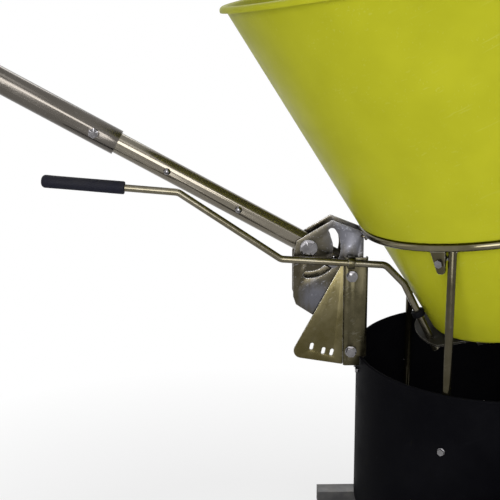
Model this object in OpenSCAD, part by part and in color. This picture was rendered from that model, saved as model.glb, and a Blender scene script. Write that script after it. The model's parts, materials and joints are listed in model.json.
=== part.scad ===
// Walk-behind broadcast spreader with a cone hopper over a spread-limiting drum.
// Millimetres, +X forward, +Y to the machine's left, +Z up, ground at Z = 0.
// The origin is the middle of the outline on the ground.

/* [Wheels and axle] */
// Outer radius of the tyres, which is also the height of the axle
wheel_r = 180; // [174:1:182]
// Radius of the tyre's round section
tyre_r = 32; // [26:1:34]
// Thickness of the tyre's casing
tyre_wall = 6; // [4:0.5:8]
// Distance from the middle of the machine to the middle of a wheel
half_track = 270; // [260:1:300]
// Diameter of the axle
axle_d = 16; // [14:0.5:18]
// Thickness of the rim's sheet
rim_t = 4; // [3:0.5:5]
// Outer radius of the wheel hub
hub_r = 20; // [17:0.5:24]
// Length of the wheel hub
hub_len = 70; // [60:1:76]
// Number of round holes in the wheel disc
disc_holes = 6; // [4:1:8]
// Radius of a hole in the wheel disc
disc_hole_r = 16; // [8:0.5:18]

/* [Base frame] */
// Width of the square tubes
bar_w = 25; // [24:0.5:28]
// Wall of the square tubes
bar_wall = 2; // [1.5:0.25:3]
// Distance from the middle to the centre of a side rail
rail_y = 70; // [68:1:76]
// Length of a side rail behind the drum's centre
rail_back = 245; // [235:1:260]
// Length of a side rail ahead of the drum's centre
rail_front = 125; // [112:1:140]
// Thickness of the stand's foot strip
foot_t = 6; // [4:0.5:8]
// Width of the stand's foot strip
foot_w = 40; // [30:1:50]

/* [Ring, legs and drum] */
// Height of the ring's centre above the ground
ring_z = 674; // [664:1:690]
// Radius of the ring, to the middle of its bar
ring_r = 190; // [188:0.5:193]
// Diameter of the ring's bar
ring_bar = 11; // [10:0.5:12]
// Lean of the ring and hopper, front up
lean = 10; // [8:0.5:11]
// Diameter of the legs
leg_d = 11; // [9:0.5:12]
// Angle of the legs from the machine's middle plane
leg_angle = 60; // [57:1:62]
// Outer radius of the drum
drum_r = 193; // [191:0.5:195]
// Wall of the drum
drum_wall = 3; // [2.5:0.25:3.5]
// Height of the drum's rim
rim_z = 455; // [445:1:460]
// Radius of the bead along the drum's rim
bead_r = 2.2; // [1.8:0.1:2.6]
// Height of the screws that hold the drum to the legs
drum_screw_z = 376; // [340:1:400]
// Diameter of those screws
drum_screw_d = 5; // [4:0.5:5]

/* [Hopper] */
// Radius of the upper cone, level with the ring
hopper_r = 192; // [189:0.5:194]
// Half angle of the cone
cone_angle = 21.8; // [20:0.2:23]
// Height of the hopper above the ring, along its axis
hopper_rise = 340; // [310:1:350]
// Depth of the hopper below the ring, along its axis
hopper_drop = 166; // [160:1:170]
// Width of the ledge that rests on the ring
ledge_w = 15; // [14:0.5:18]
// Wall of the hopper
hopper_wall = 4; // [3:0.25:5]
// Thickness of the hopper's floor
floor_t = 6; // [5:0.5:8]
// Radius of the rolled lip
lip_r = 6; // [5:0.5:8]
// Radius of the hopper's lower corner
corner_r = 9; // [6:0.5:12]

/* [Tabs under the ring] */
// Angle from the middle plane to a tab
tab_angle = 54; // [48:1:54]
// Width of a tab at the ring
tab_w = 22; // [16:1:24]
// Height of a tab
tab_h = 30; // [26:1:34]
// Thickness of a tab
tab_t = 4; // [3:0.5:5]
// Diameter of a tab's screw
tab_screw_d = 6; // [5:0.5:8]

/* [Spinner and its drive] */
// Height of the spinner disc
spinner_z = 300; // [285:1:330]
// Radius of the spinner disc
spinner_r = 125; // [110:1:135]
// Thickness of the spinner disc
spinner_t = 3; // [2:0.5:4]
// Height of the fins on the disc
fin_h = 20; // [14:1:26]
// Number of fins
fin_count = 4; // [3:1:6]
// Diameter of the upright shaft
shaft_d = 14; // [12:0.5:15]
// Teeth on the bevel gear
gear_teeth = 36; // [30:3:42]
// Teeth on the pinion
pinion_teeth = 12; // [11:1:13]
// Pitch radius of the bevel gear
gear_r = 33; // [31:0.5:34]
// Wall of the gear housing
case_wall = 6; // [5:0.5:7]
// Half width of the gear housing across the machine
case_y = 45; // [44:0.5:50]
// Length of the agitator bar
agitator_len = 140; // [100:1:160]
// Diameter of the agitator bar
agitator_d = 8; // [6:0.5:8]

/* [Gate] */
// Width of the gate plate
gate_w = 140; // [120:1:144]
// Thickness of the gate plate
gate_t = 3; // [2:0.5:4]
// Radius of the rounded tongue, about the hopper's axis
tongue_r = 138; // [136:0.5:142]
// Radius of the outlet ports
port_r = 13; // [9:0.5:14]
// Distance from the hopper's axis to the ports
port_x = 46; // [42:1:54]
// Spacing of the ports across the machine
port_pitch = 36; // [31:1:40]
// Travel of the gate from shut to open
gate_travel = 32; // [28:0.5:32]

/* [Handle bracket and post] */
// Thickness of the bracket's sheet
sheet_t = 3; // [2.5:0.25:3.5]
// Distance of the handle's pivot behind the ring
pivot_back = 79; // [74:1:84]
// Distance of the handle's pivot below the ring
pivot_down = 22; // [18:1:26]
// Radius of the arc slots about the pivot
slot_r = 40; // [39:0.5:42]
// Reach of the arc slots above level
slot_up = 35; // [30:1:38]
// Reach of the arc slots below level
slot_down = 93; // [86:1:108]
// Width of the arc slots
slot_w = 11; // [10.6:0.2:12]
// Distance from the ring's rear to the post's front edge
post_ahead = 5; // [4.5:0.5:6]
// Width of the post
post_w = 34; // [30:1:36]
// Depth of the post's channel
post_depth = 9; // [8:0.5:10]
// Outer corner radius of the post
post_corner = 4; // [3.5:0.25:5]
// Width of the gusset plate's foot
gusset_w = 77; // [70:1:82]
// Height of the gusset plate
gusset_h = 153; // [140:1:156]

/* [Handle] */
// Outer diameter of the lower handle tube
tube_d = 30; // [28:0.5:31]
// Wall of both handle tubes
tube_wall = 2; // [1.5:0.25:2.5]
// Outer diameter of the upper handle tube
sleeve_d = 36; // [35:0.5:38]
// Slope of the handle
handle_angle = 29.4; // [24:0.2:34]
// Length from the pivot to the crossbar
handle_len = 830; // [780:5:900]
// Distance from the pivot to the upper tube's lower end
sleeve_start = 305; // [300:1:330]
// Length of the lower tube above the pivot
tube_len = 520; // [500:1:560]
// Spacing of the fasteners along the handle
rivet_pitch = 113; // [108:1:116]
// Length of the crossbar
crossbar_len = 520; // [460:5:600]
// Outer diameter of the crossbar
crossbar_d = 28; // [25:0.5:30]
// Length of a handle grip
grip_len = 125; // [105:1:140]
// Wall of a handle grip
grip_wall = 4; // [3:0.5:5]

/* [Control rod] */
// Diameter of the control rod
rod_d = 10; // [8:0.5:10]
// Length of the rod's rubber grip
lever_grip_len = 110; // [100:1:120]
// Diameter of the rod's rubber grip
lever_grip_d = 18; // [16:0.5:18]
// Radius of the rod's bends, to the middle of the rod
rod_bend_r = 14; // [10:1:16]
// Length of the guide that the rod slides in
guide_len = 10; // [8:0.5:11]
// Wall of the guide
guide_wall = 3; // [2.5:0.25:3.5]

/* [Fasteners and fits] */
// Diameter of the handle's pivot bolt
pivot_d = 12; // [10:0.5:12]
// Diameter of the bolt that slides in the arc slots
slot_bolt_d = 10; // [8:0.5:10]
// Diameter of the post's bolts
post_bolt_d = 8; // [6:0.5:8]
// Diameter of the small screws
small_d = 5; // [4:0.5:6]
// Radial clearance of a shaft that turns in its bearing
run_fit = 0.06; // [0.03:0.01:0.1]
// Gap between pieces that are seated on each other
seat = 0.2; // [0.1:0.05:0.3]
// Gap between pieces that slide or pass each other
slide = 0.4; // [0.3:0.05:0.6]

/* [Hidden] */
$fn = 96;

// Frame of the ring and hopper
ring_rear_x = -ring_r * cos(lean);
ring_rear_z = ring_z - ring_r * sin(lean);
cone_k = tan(cone_angle);
ledge_s = ring_bar / 2 + seat;
lower_r = hopper_r - ledge_w;
lip_s = hopper_rise - lip_r;
lip_mid_r = hopper_r + cone_k * lip_s + lip_r - hopper_wall;
floor_x = hopper_drop * sin(lean);

// Heights of the base frame
axle_z = wheel_r;
cross_z = axle_z + bar_w;
base_top = cross_z + bar_w / 2;
drum_z = base_top + seat;

// Legs
bead_inner_r = drum_r - drum_wall / 2 - bead_r;
leg_r = bead_inner_r - leg_d / 2 - slide;
leg_x = leg_r * cos(leg_angle);
leg_y = leg_r * sin(leg_angle);
cross_half = leg_y + 20;

// Spinner and drive
pinion_r = gear_r / 3;
shaft_x = floor_x;
shaft_top = ring_z - hopper_drop * cos(lean) + 45;
agitator_z = shaft_top - agitator_d;
bush_wall = 4;
case_x = gear_r + 3 + case_wall;
case_top = axle_z + gear_r + 15;
case_bottom = axle_z - gear_r - 3;
cover_t = 4;

// Gate and control rod
gate_s = -hopper_drop - slide;
rail_lip = 8;
gate_front = port_x + port_r + 22;
plate_y = tube_d / 2 + slide + sheet_t;
post_y = -plate_y - post_depth;
rod_y = post_y - guide_wall - slide - rod_d / 2;
post_x = ring_rear_x + post_ahead - post_w / 2;
post_top = ring_rear_z - 35;
post_bottom = rim_z + bead_r + slide;
post_bolt_x = post_x - 6;
post_bolt_high = post_top - 27;
post_bolt_low = post_bottom + 8;
// The post's foot reaches this far down beside the drum's rim
post_foot = 14;
web_drop = 10;
// Bare axle beyond each hub, for its nut
axle_stub = 20;
guide_x = post_x - post_w / 2 + guide_len / 2 + 4;
guide_z = post_top - rod_d / 2;
rod_slope = 4;
hole_x = -123;
hole_at = leaned_point(hole_x, gate_s - gate_t / 2);
bend_top = guide_at(48);
bend_low = bend_top + [27, -28];
bend_rear = guide_at(-99);
bend_handle = bend_rear + [-141, 97];
rod_tail = bend_handle + 183.5 * [-cos(5.5), sin(5.5)];
end_dir = (hole_at - bend_low) / norm(hole_at - bend_low);
rod_tip = hole_at + end_dir * (gate_travel * 0.4 + gate_t + 3);
elbow_extra = 0.15;

// Handle
pivot = [ring_rear_x - pivot_back, ring_rear_z - pivot_down];
tube_tail = slot_r + 13;
sleeve_bore = tube_d / 2 + slide / 2;
sleeve_clamp = 3 * rivet_pitch;
grip_r = crossbar_d / 2 + grip_wall;

// Fasteners
head_k = 0.65;
washer_t = 1.6;

// Outline along X, and the shift that puts its middle at the origin
hopper_front = lip_mid_r * cos(lean) - lip_s * sin(lean) + lip_r;
handle_rear = pivot[0] - handle_len * cos(handle_angle) - grip_r;
middle_x = (hopper_front + handle_rear) / 2;

// Point of the leaning frame, given along its own X and axis, as world X and Z
function leaned_point(x, s) =
    [x * cos(lean) - s * sin(lean), ring_z + x * sin(lean) + s * cos(lean)];

// Point of the control rod's guided stretch, a distance ahead of the guide
function guide_at(ahead) =
    [guide_x + ahead * cos(rod_slope), guide_z - ahead * sin(rod_slope)];

// Radius of the hopper's lower cone at a height along its axis
function lower_cone(s) = lower_r + cone_k * s;

// Points of an arc about c
function arc(c, r, a0, a1, n) =
    [for (i = [0 : n]) c + r * [cos(a0 + (a1 - a0) * i / n), sin(a0 + (a1 - a0) * i / n)]];

// Points that round the corner b between a and c with radius r
function corner(a, b, c, r) =
    let (u = (a - b) / norm(a - b), v = (c - b) / norm(c - b),
         half = acos(u * v) / 2, m = (u + v) / norm(u + v),
         o = b + m * r / sin(half), p = b + u * r / tan(half), q = b + v * r / tan(half),
         a0 = atan2(p[1] - o[1], p[0] - o[0]), a1 = atan2(q[1] - o[1], q[0] - o[0]),
         turn = a1 - a0 > 180 ? a1 - a0 - 360 : a1 - a0 < -180 ? a1 - a0 + 360 : a1 - a0)
    arc(o, r, a0, a0 + turn, 6);

// Arc that joins a-b to b-c: its centre, start angle and sweep, first end and last end
function bend_arc(a, b, c, r) =
    let (u = (a - b) / norm(a - b), v = (c - b) / norm(c - b),
         half = acos(u * v) / 2, o = b + (u + v) / norm(u + v) * r / sin(half),
         p = b + u * r / tan(half), q = b + v * r / tan(half),
         a0 = atan2(p[1] - o[1], p[0] - o[0]), a1 = atan2(q[1] - o[1], q[0] - o[0]),
         sweep = 180 - 2 * half, ahead = abs((a1 - a0 + 720) % 360 - sweep) < 1)
    [o, [ahead ? a0 : a1, sweep], p, q];

// Outline with its corners rounded, each by its own radius
function rounded(pts, radii) =
    [for (i = [0 : len(pts) - 1])
        each radii[i] == 0 ? [pts[i]]
            : corner(pts[(i + len(pts) - 1) % len(pts)], pts[i], pts[(i + 1) % len(pts)],
                     radii[i])];

// Frames
module machine() { translate([-middle_x, 0, 0]) children(); }

module leaned() { machine() translate([0, 0, ring_z]) rotate([0, -lean, 0]) children(); }

module across(x, y, z) { translate([x, y, z]) rotate([-90, 0, 0]) children(); }

module handle_frame() {
    machine() translate([pivot[0], 0, pivot[1]]) rotate([0, 180 + handle_angle, 0]) children();
}

// Shapes that repeat
module tube(r_out, r_in, h) {
    difference() {
        cylinder(r = r_out, h = h);
        translate([0, 0, -1]) cylinder(r = r_in, h = h + 2);
    }
}

module hex_head(d) { cylinder(r = d * 0.92, h = d * head_k, $fn = 6); }

// Screw along +Z, seated on its head, with its washer
module screw(d, len, washer = true) {
    translate([0, 0, -d * head_k - (washer ? washer_t : 0)]) hex_head(d);
    if (washer) translate([0, 0, -washer_t]) cylinder(r = d * 1.05, h = washer_t);
    cylinder(r = d / 2, h = len);
}

module nut(d) {
    difference() {
        cylinder(r = d * 0.92, h = d * 0.8, $fn = 6);
        translate([0, 0, -1]) cylinder(r = d / 2 + seat / 4, h = d + 2);
    }
}

module square_tube(len) {
    rotate([0, 90, 0]) difference() {
        translate([-bar_w / 2, -bar_w / 2, 0]) cube([bar_w, bar_w, len]);
        translate([bar_wall - bar_w / 2, bar_wall - bar_w / 2, -1])
            cube([bar_w - 2 * bar_wall, bar_w - 2 * bar_wall, len + 2]);
    }
}

// Round bar between two points of the plane, given as X and Z
module bar_between(a, b, d) {
    v = b - a;
    translate([a[0], 0, a[1]]) rotate([0, atan2(v[0], v[1]), 0])
        cylinder(r = d / 2, h = norm(v));
}

module ring_solid(extra) {
    rotate_extrude() translate([ring_r, 0]) circle(r = ring_bar / 2 + extra);
}

// Hopper
module hopper_shell() {
    outer_low = lower_cone(-hopper_drop);
    flat_r = outer_low - corner_r;
    rotate_extrude() polygon(concat(
        [[0, -hopper_drop]],
        corner([flat_r - corner_r, -hopper_drop], [outer_low, -hopper_drop],
               [lower_cone(0), 0], corner_r),
        [[lower_cone(ledge_s), ledge_s],
         [hopper_r + cone_k * ledge_s, ledge_s],
         [hopper_r + cone_k * lip_s, lip_s]],
        arc([lip_mid_r, lip_s], lip_r, -20, 160, 12),
        [[hopper_r + cone_k * lip_s - hopper_wall, lip_s],
         [hopper_r + cone_k * (ledge_s + hopper_wall) - hopper_wall, ledge_s + hopper_wall],
         [lower_cone(ledge_s) - hopper_wall, ledge_s + hopper_wall - 0.5],
         [lower_cone(floor_t - hopper_drop) - hopper_wall, floor_t - hopper_drop],
         [0, floor_t - hopper_drop]]));
}

module floor_hole(r) {
    translate([shaft_x, 0, ring_z - hopper_drop * cos(lean) - 30]) cylinder(r = r, h = 60);
}

module port_holes(shift, depth) {
    for (k = [-1 : 1])
        translate([port_x + shift, k * port_pitch, -hopper_drop - depth / 2])
            cylinder(r = port_r, h = depth);
}

module rail_screw_points() {
    for (sx = [-1, 1], sy = [-1, 1])
        translate([sx * 45, sy * (gate_w / 2 + slide + rail_lip / 2), 0]) children();
}

module hopper() {
    color("gold") difference() {
        leaned() difference() {
            hopper_shell();
            port_holes(0, 3 * floor_t);
            rail_screw_points() translate([0, 0, -hopper_drop - 1])
                cylinder(r = small_d / 2 + seat / 4, h = floor_t + 2);
        }
        machine() floor_hole(shaft_d / 2 + bush_wall + seat / 2);
    }
}

module floor_bush() {
    color("dimgray") difference() {
        machine() difference() {
            translate([shaft_x, 0, ring_z - hopper_drop * cos(lean) - 8])
                cylinder(r = shaft_d / 2 + bush_wall, h = floor_t + 20);
            floor_hole(shaft_d / 2 + run_fit);
        }
        leaned() translate([-60, -60, -hopper_drop - 60]) cube([120, 120, 60]);
    }
}

module gate_rails() {
    low = gate_s - gate_t - slide;
    inner = gate_w / 2 + slide;
    color("darkseagreen") leaned() difference() {
        for (sy = [0, 1]) mirror([0, sy, 0]) {
            translate([-65, inner, low]) cube([130, rail_lip, -hopper_drop - seat - low]);
            translate([-65, inner - rail_lip, low - 3]) cube([130, 2 * rail_lip, 3]);
        }
        rail_screw_points() translate([0, 0, low - 4])
            cylinder(r = small_d / 2 + seat / 4, h = 20);
    }
}

module gate_rail_screws() {
    low = gate_s - gate_t - slide - 3;
    color("silver") leaned() rail_screw_points()
        translate([0, 0, low - seat]) screw(small_d, 20, false);
}

module gate() {
    slot_half = shaft_d / 2 + bush_wall;
    color("darkkhaki") difference() {
        leaned() difference() {
            translate([0, 0, gate_s - gate_t]) intersection() {
                union() {
                    cylinder(r = tongue_r, h = gate_t);
                    cube([2 * gate_front, gate_w, 2 * gate_t], center = true);
                }
                translate([-tongue_r, -gate_w / 2, 0])
                    cube([tongue_r + gate_front, gate_w, gate_t]);
            }
            port_holes(gate_travel, 8 * gate_t);
            for (x = [0, gate_travel]) translate([x, 0, gate_s - 2 * gate_t])
                cylinder(r = slot_half, h = 4 * gate_t);
            translate([0, -slot_half, gate_s - 2 * gate_t])
                cube([gate_travel, 2 * slot_half, 4 * gate_t]);
        }
        machine() translate([0, rod_y, 0])
            bar_between(hole_at - 15 * end_dir, hole_at + 15 * end_dir, rod_d + 2 * slide);
    }
}

// Ring, tabs and legs
module support_ring() { color("silver") leaned() ring_solid(0); }

module tab_places() {
    for (a = [tab_angle, -tab_angle, 180 - tab_angle, 180 + tab_angle])
        rotate([0, 0, a]) children();
}

module ring_tabs() {
    screw_s = -ring_bar / 2 - tab_h / 2;
    color("darkkhaki") leaned() tab_places() difference() {
        translate([ring_r + tab_t / 2, 0, -ring_bar / 2]) rotate([0, -90, 0])
            linear_extrude(tab_t) polygon(rounded(
                [[3, -tab_w / 2], [3, tab_w / 2], [-tab_h, 5], [-tab_h, -5]], [0, 0, 4, 4]));
        ring_solid(seat / 2);
        translate([ring_r - 20, 0, screw_s]) rotate([0, 90, 0])
            cylinder(r = tab_screw_d / 2 + seat / 4, h = 40);
    }
}

module tab_screws() {
    screw_s = -ring_bar / 2 - tab_h / 2;
    tip_r = lower_cone(screw_s + tab_screw_d) + slide;
    head_r = ring_r + tab_t / 2 + seat;
    color("gainsboro") leaned() tab_places()
        translate([head_r, 0, screw_s]) rotate([0, -90, 0])
            screw(tab_screw_d, head_r - tip_r, false);
}

module leg(sx, sy) {
    color("silver") difference() {
        machine() difference() {
            translate([sx * leg_x, sy * leg_y, base_top + seat])
                cylinder(r = leg_d / 2, h = ring_z + sx * leg_x * tan(lean) - base_top - 1);
            translate([sx * leg_x, sy * leg_y, drum_screw_z])
                rotate([0, 90, sx > 0 ? sy * leg_angle : 180 - sy * leg_angle])
                    cylinder(r = drum_screw_d / 2 + seat / 4, h = leg_d);
        }
        leaned() ring_solid(seat / 2);
    }
}

module leg_rear_right() { leg(-1, -1); }
module leg_rear_left() { leg(-1, 1); }
module leg_front_right() { leg(1, -1); }
module leg_front_left() { leg(1, 1); }

// Drum and its screws
module drum_screw_places() {
    for (sx = [-1, 1], sy = [-1, 1])
        rotate([0, 0, sx > 0 ? sy * leg_angle : 180 - sy * leg_angle]) children();
}

module bracket_screw_places() {
    for (sy = [-1, 1]) translate([0, sy * 10, rim_z - 25]) rotate([0, -90, 0]) children();
}

module drum() {
    mid = drum_r - drum_wall / 2;
    color([0.1, 0.1, 0.12]) machine() difference() {
        union() {
            translate([0, 0, drum_z]) tube(drum_r, drum_r - drum_wall, rim_z - drum_z);
            translate([0, 0, rim_z]) rotate_extrude() translate([mid, 0]) circle(r = bead_r);
        }
        drum_screw_places() translate([drum_r - 20, 0, drum_screw_z]) rotate([0, 90, 0])
            cylinder(r = drum_screw_d / 2 + seat / 4, h = 40);
        translate([20 - drum_r, 0, 0]) bracket_screw_places()
            cylinder(r = small_d / 2 + seat / 4, h = 40);
    }
}

module drum_screws() {
    color("silver") machine() drum_screw_places()
        translate([drum_r + seat, 0, drum_screw_z]) rotate([0, -90, 0])
            screw(drum_screw_d, drum_r - leg_r);
}

// Base frame
module crossbar_at(x) {
    color("gray") machine() translate([x, -cross_half, cross_z]) rotate([0, 0, 90])
        square_tube(2 * cross_half);
}

module crossbar_rear() { crossbar_at(-leg_x); }
module crossbar_front() { crossbar_at(leg_x); }

module housing_bolt_places(y) {
    for (sx = [-1, 1]) translate([shaft_x + sx * (case_x - 11), y, axle_z]) children();
}

module rail(side) {
    color("gray") machine() difference() {
        translate([-rail_back, side * rail_y, axle_z - seat]) square_tube(rail_back + rail_front);
        across(shaft_x, side * rail_y - bar_w, axle_z)
            cylinder(r = axle_d / 2 + bush_wall + seat / 4, h = 2 * bar_w);
        housing_bolt_places(side * rail_y - bar_w) rotate([-90, 0, 0])
            cylinder(r = post_bolt_d / 2 + seat / 4, h = 2 * bar_w);
    }
}

module rail_right() { rail(-1); }
module rail_left() { rail(1); }

module rear_stand() {
    x = bar_w / 2 + 2 - rail_back;
    rail_low = axle_z - seat - bar_w / 2;
    color("gray") machine() union() {
        for (side = [-1, 1]) translate([x, side * rail_y, foot_t]) rotate([0, -90, 0])
            square_tube(rail_low - seat - foot_t);
        translate([x - foot_w / 2, -rail_y - 25, 0]) cube([foot_w, 2 * rail_y + 50, foot_t]);
    }
}

module axle_bushes() {
    color("darkgoldenrod") machine() for (side = [-1, 1]) {
        across(shaft_x, side * rail_y - bar_w / 2 - seat, axle_z)
            tube(axle_d / 2 + bush_wall, axle_d / 2 + run_fit, bar_w + 2 * seat);
        across(shaft_x, side * (rail_y + bar_w / 2 + seat + 1.5) - 1.5, axle_z)
            tube(axle_d / 2 + bush_wall + 4, axle_d / 2 + run_fit, 3);
    }
}

// Axle, wheels and tyres
module axle() {
    end = half_track + hub_len / 2 + axle_stub;
    color("silver") machine() across(shaft_x, -end, axle_z) cylinder(r = axle_d / 2, h = 2 * end);
}

module end_nut(side) {
    face = half_track + hub_len / 2 + slide;
    color("silver") machine() across(shaft_x, side > 0 ? face : -face - 12, axle_z) difference() {
        cylinder(r = axle_d * 0.85, h = 12, $fn = 6);
        translate([0, 0, -1]) cylinder(r = axle_d / 2 + seat / 4, h = 14);
    }
}

module axle_nuts() { end_nut(1); }
module free_wheel_nut() { end_nut(-1); }

module wheel(side, fit) {
    seat_r = wheel_r - 2 * tyre_r + 4;
    half = tyre_r * 0.8;
    color("lightgray") machine() across(shaft_x, side * half_track, axle_z) difference() {
        union() {
            translate([0, 0, -hub_len / 2]) cylinder(r = hub_r, h = hub_len);
            translate([0, 0, -rim_t / 2]) cylinder(r = seat_r - rim_t / 2, h = rim_t);
            rotate_extrude() polygon([
                [seat_r - rim_t, -half], [seat_r + 6, -half - rim_t], [seat_r + 6, -half],
                [seat_r, -half + 4], [seat_r, half - 4], [seat_r + 6, half],
                [seat_r + 6, half + rim_t], [seat_r - rim_t, half]]);
        }
        translate([0, 0, -hub_len]) cylinder(r = axle_d / 2 + fit, h = 2 * hub_len);
        for (i = [0 : disc_holes - 1]) rotate([0, 0, i * 360 / disc_holes])
            translate([(hub_r + seat_r) / 2, 0, -rim_t]) cylinder(r = disc_hole_r, h = 2 * rim_t);
    }
}

module wheel_right() { wheel(-1, run_fit); }
module wheel_left() { wheel(1, run_fit); }

module tyre(side) {
    seat_r = wheel_r - 2 * tyre_r + 4 + seat;
    mid = wheel_r - tyre_r;
    half = tyre_r * 0.8 - 4 - seat;
    open = asin((half - tyre_wall) / (tyre_r - tyre_wall));
    wide = asin(half / tyre_r);
    color([0.12, 0.12, 0.12]) machine() across(shaft_x, side * half_track, axle_z)
        rotate_extrude() polygon(concat(
            [[seat_r, half]],
            arc([mid, 0], tyre_r, 180 - wide, wide - 180, 30),
            [[seat_r, -half], [seat_r, tyre_wall - half]],
            arc([mid, 0], tyre_r - tyre_wall, open - 180, 180 - open, 30),
            [[seat_r, half - tyre_wall]]));
}

module tyre_right() { tyre(-1); }
module tyre_left() { tyre(1); }

// Gear housing
module case_cavity() {
    translate([shaft_x - case_x + case_wall, case_wall - case_y, case_bottom - 1])
        cube([2 * (case_x - case_wall), 2 * (case_y - case_wall), case_top - case_bottom - 9]);
}

module cover_screw_places(z) {
    for (sx = [-1, 1], sy = [-1, 1])
        translate([shaft_x + sx * (case_x - 3), sy * (case_y - 3), z]) children();
}

module gear_housing() {
    lug = rail_y - bar_w / 2 - case_y - seat;
    bolt_r = post_bolt_d / 2 + seat / 4;
    color("slategray") machine() difference() {
        union() {
            translate([shaft_x - case_x, -case_y, case_bottom])
                cube([2 * case_x, 2 * case_y, case_top - case_bottom]);
            for (side = [-1, 1]) housing_bolt_places(side > 0 ? case_y : -case_y - lug)
                rotate([-90, 0, 0]) cylinder(r = post_bolt_d, h = lug);
            translate([shaft_x, 0, case_top])
                cylinder(r = shaft_d / 2 + bush_wall + 6, h = 12);
        }
        case_cavity();
        across(shaft_x, -case_y - 1, axle_z)
            cylinder(r = axle_d / 2 + slide, h = 2 * case_y + 2);
        translate([shaft_x, 0, axle_z + gear_r])
            cylinder(r = shaft_d / 2 + bush_wall + seat / 4, h = gear_r);
        for (side = [0, 1]) mirror([0, side, 0])
            housing_bolt_places(case_y - case_wall - 1) rotate([-90, 0, 0])
                cylinder(r = bolt_r, h = bar_w + case_wall);
        cover_screw_places(case_bottom - 1) cylinder(r = 1.6, h = 14);
    }
}

module housing_cover() {
    color("slategray") machine() difference() {
        translate([shaft_x - case_x, -case_y, case_bottom - cover_t - seat])
            cube([2 * case_x, 2 * case_y, cover_t]);
        cover_screw_places(case_bottom - 2 * cover_t) cylinder(r = 1.6, h = 3 * cover_t);
    }
}

module cover_screws() {
    color("silver") machine() cover_screw_places(case_bottom - cover_t - 2 * seat) {
        translate([0, 0, -2]) cylinder(r = 2.8, h = 2);
        cylinder(r = 1.5, h = cover_t + 10);
    }
}

module housing_bolts() {
    face = rail_y + bar_w / 2 + seat;
    inner = case_y - case_wall;
    color("silver") machine() for (side = [0, 1]) mirror([0, side, 0])
        housing_bolt_places(face) rotate([90, 0, 0]) screw(post_bolt_d, face - inner);
}

module shaft_bush() {
    color("darkgoldenrod") machine() translate([shaft_x, 0, axle_z + gear_r + 6])
        tube(shaft_d / 2 + bush_wall, shaft_d / 2 + run_fit, 18);
}

// Toothed cone that tapers towards its tip, with teeth as notches in its rim
module toothed_cone(r, depth, teeth, h, shrink) {
    step = 360 / teeth;
    linear_extrude(height = h, scale = shrink) polygon([
        for (i = [0 : teeth - 1]) each [
            r * [cos((i - 0.2) * step), sin((i - 0.2) * step)],
            r * [cos((i + 0.2) * step), sin((i + 0.2) * step)],
            (r - depth) * [cos((i + 0.35) * step), sin((i + 0.35) * step)],
            (r - depth) * [cos((i + 0.65) * step), sin((i + 0.65) * step)]]]);
}

module bevel_gear() {
    face = 3;
    color("dimgray") machine() across(shaft_x, 0, axle_z) difference() {
        union() {
            translate([0, 0, pinion_r]) mirror([0, 0, 1])
                toothed_cone(gear_r - 1.5, 4, gear_teeth, face, 1 - face / pinion_r);
            translate([0, 0, pinion_r]) cylinder(r = gear_r - 2, h = 5);
            translate([0, 0, pinion_r + 5]) cylinder(r = axle_d / 2 + 6, h = 10);
        }
        cylinder(r = axle_d / 2 + seat / 4, h = 60);
    }
}

module bevel_pinion() {
    face = 10;
    color("dimgray") machine() translate([shaft_x, 0, axle_z + gear_r]) difference() {
        union() {
            mirror([0, 0, 1])
                toothed_cone(pinion_r - 0.6, 1.6, pinion_teeth, face, 1 - face / gear_r);
            cylinder(r = pinion_r - 1.2, h = 5);
        }
        translate([0, 0, -12]) cylinder(r = shaft_d / 4 + seat / 4, h = 30);
    }
}

// Shaft, disc and agitator
module spinner_shaft() {
    base = axle_z + gear_r + 5 + seat;
    color("silver") machine() difference() {
        union() {
            translate([shaft_x, 0, base]) cylinder(r = shaft_d / 2, h = shaft_top - base);
            translate([shaft_x, 0, base - 14]) cylinder(r = shaft_d / 4, h = 14);
        }
        across(shaft_x, -shaft_d, agitator_z) cylinder(r = agitator_d / 2 + seat / 4, h = 40);
    }
}

module spinner_disc() {
    hub = shaft_d / 2 + 10;
    color("lightgray") machine() translate([shaft_x, 0, spinner_z]) difference() {
        union() {
            cylinder(r = spinner_r, h = spinner_t);
            translate([0, 0, -12]) cylinder(r = hub, h = 12 + fin_h);
            for (i = [0 : fin_count - 1]) rotate([0, 0, i * 360 / fin_count])
                translate([hub - 2, -1.5, 0]) cube([spinner_r - hub - 2, 3, fin_h]);
        }
        translate([0, 0, -20]) cylinder(r = shaft_d / 2 + seat / 4, h = 80);
    }
}

module agitator() {
    color("silver") machine() across(shaft_x, -agitator_len / 2, agitator_z)
        cylinder(r = agitator_d / 2, h = agitator_len);
}

// Handle bracket
module slot_cut() {
    half = slot_w / 2;
    low = -slot_down;
    rotate([90, 0, 0]) translate([0, 0, -50]) linear_extrude(100) polygon(concat(
        arc([0, 0], slot_r + half, low, slot_up, 36),
        arc(slot_r * [cos(slot_up), sin(slot_up)], half, slot_up + 15, slot_up + 165, 10),
        arc([0, 0], slot_r - half, slot_up, low, 36),
        arc(slot_r * [cos(low), sin(low)], half, low + 195, low + 345, 10)));
}

module bracket_side() {
    web_x = pivot_back - 1;
    outline = rounded([[-17, 10], [33, 39.5], [pivot_back - 3, pivot_down],
                       [web_x, pivot_down - web_drop], [web_x, -139],
                       [web_x - 27, -139], [6, -100], [-18, -84], [-22, -72], [-22, -13]],
                      [3, 3, 2, 0, 0, 3, 3, 4, 6, 6]);
    rotate([90, 0, 0]) linear_extrude(sheet_t) polygon(outline);
}

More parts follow.
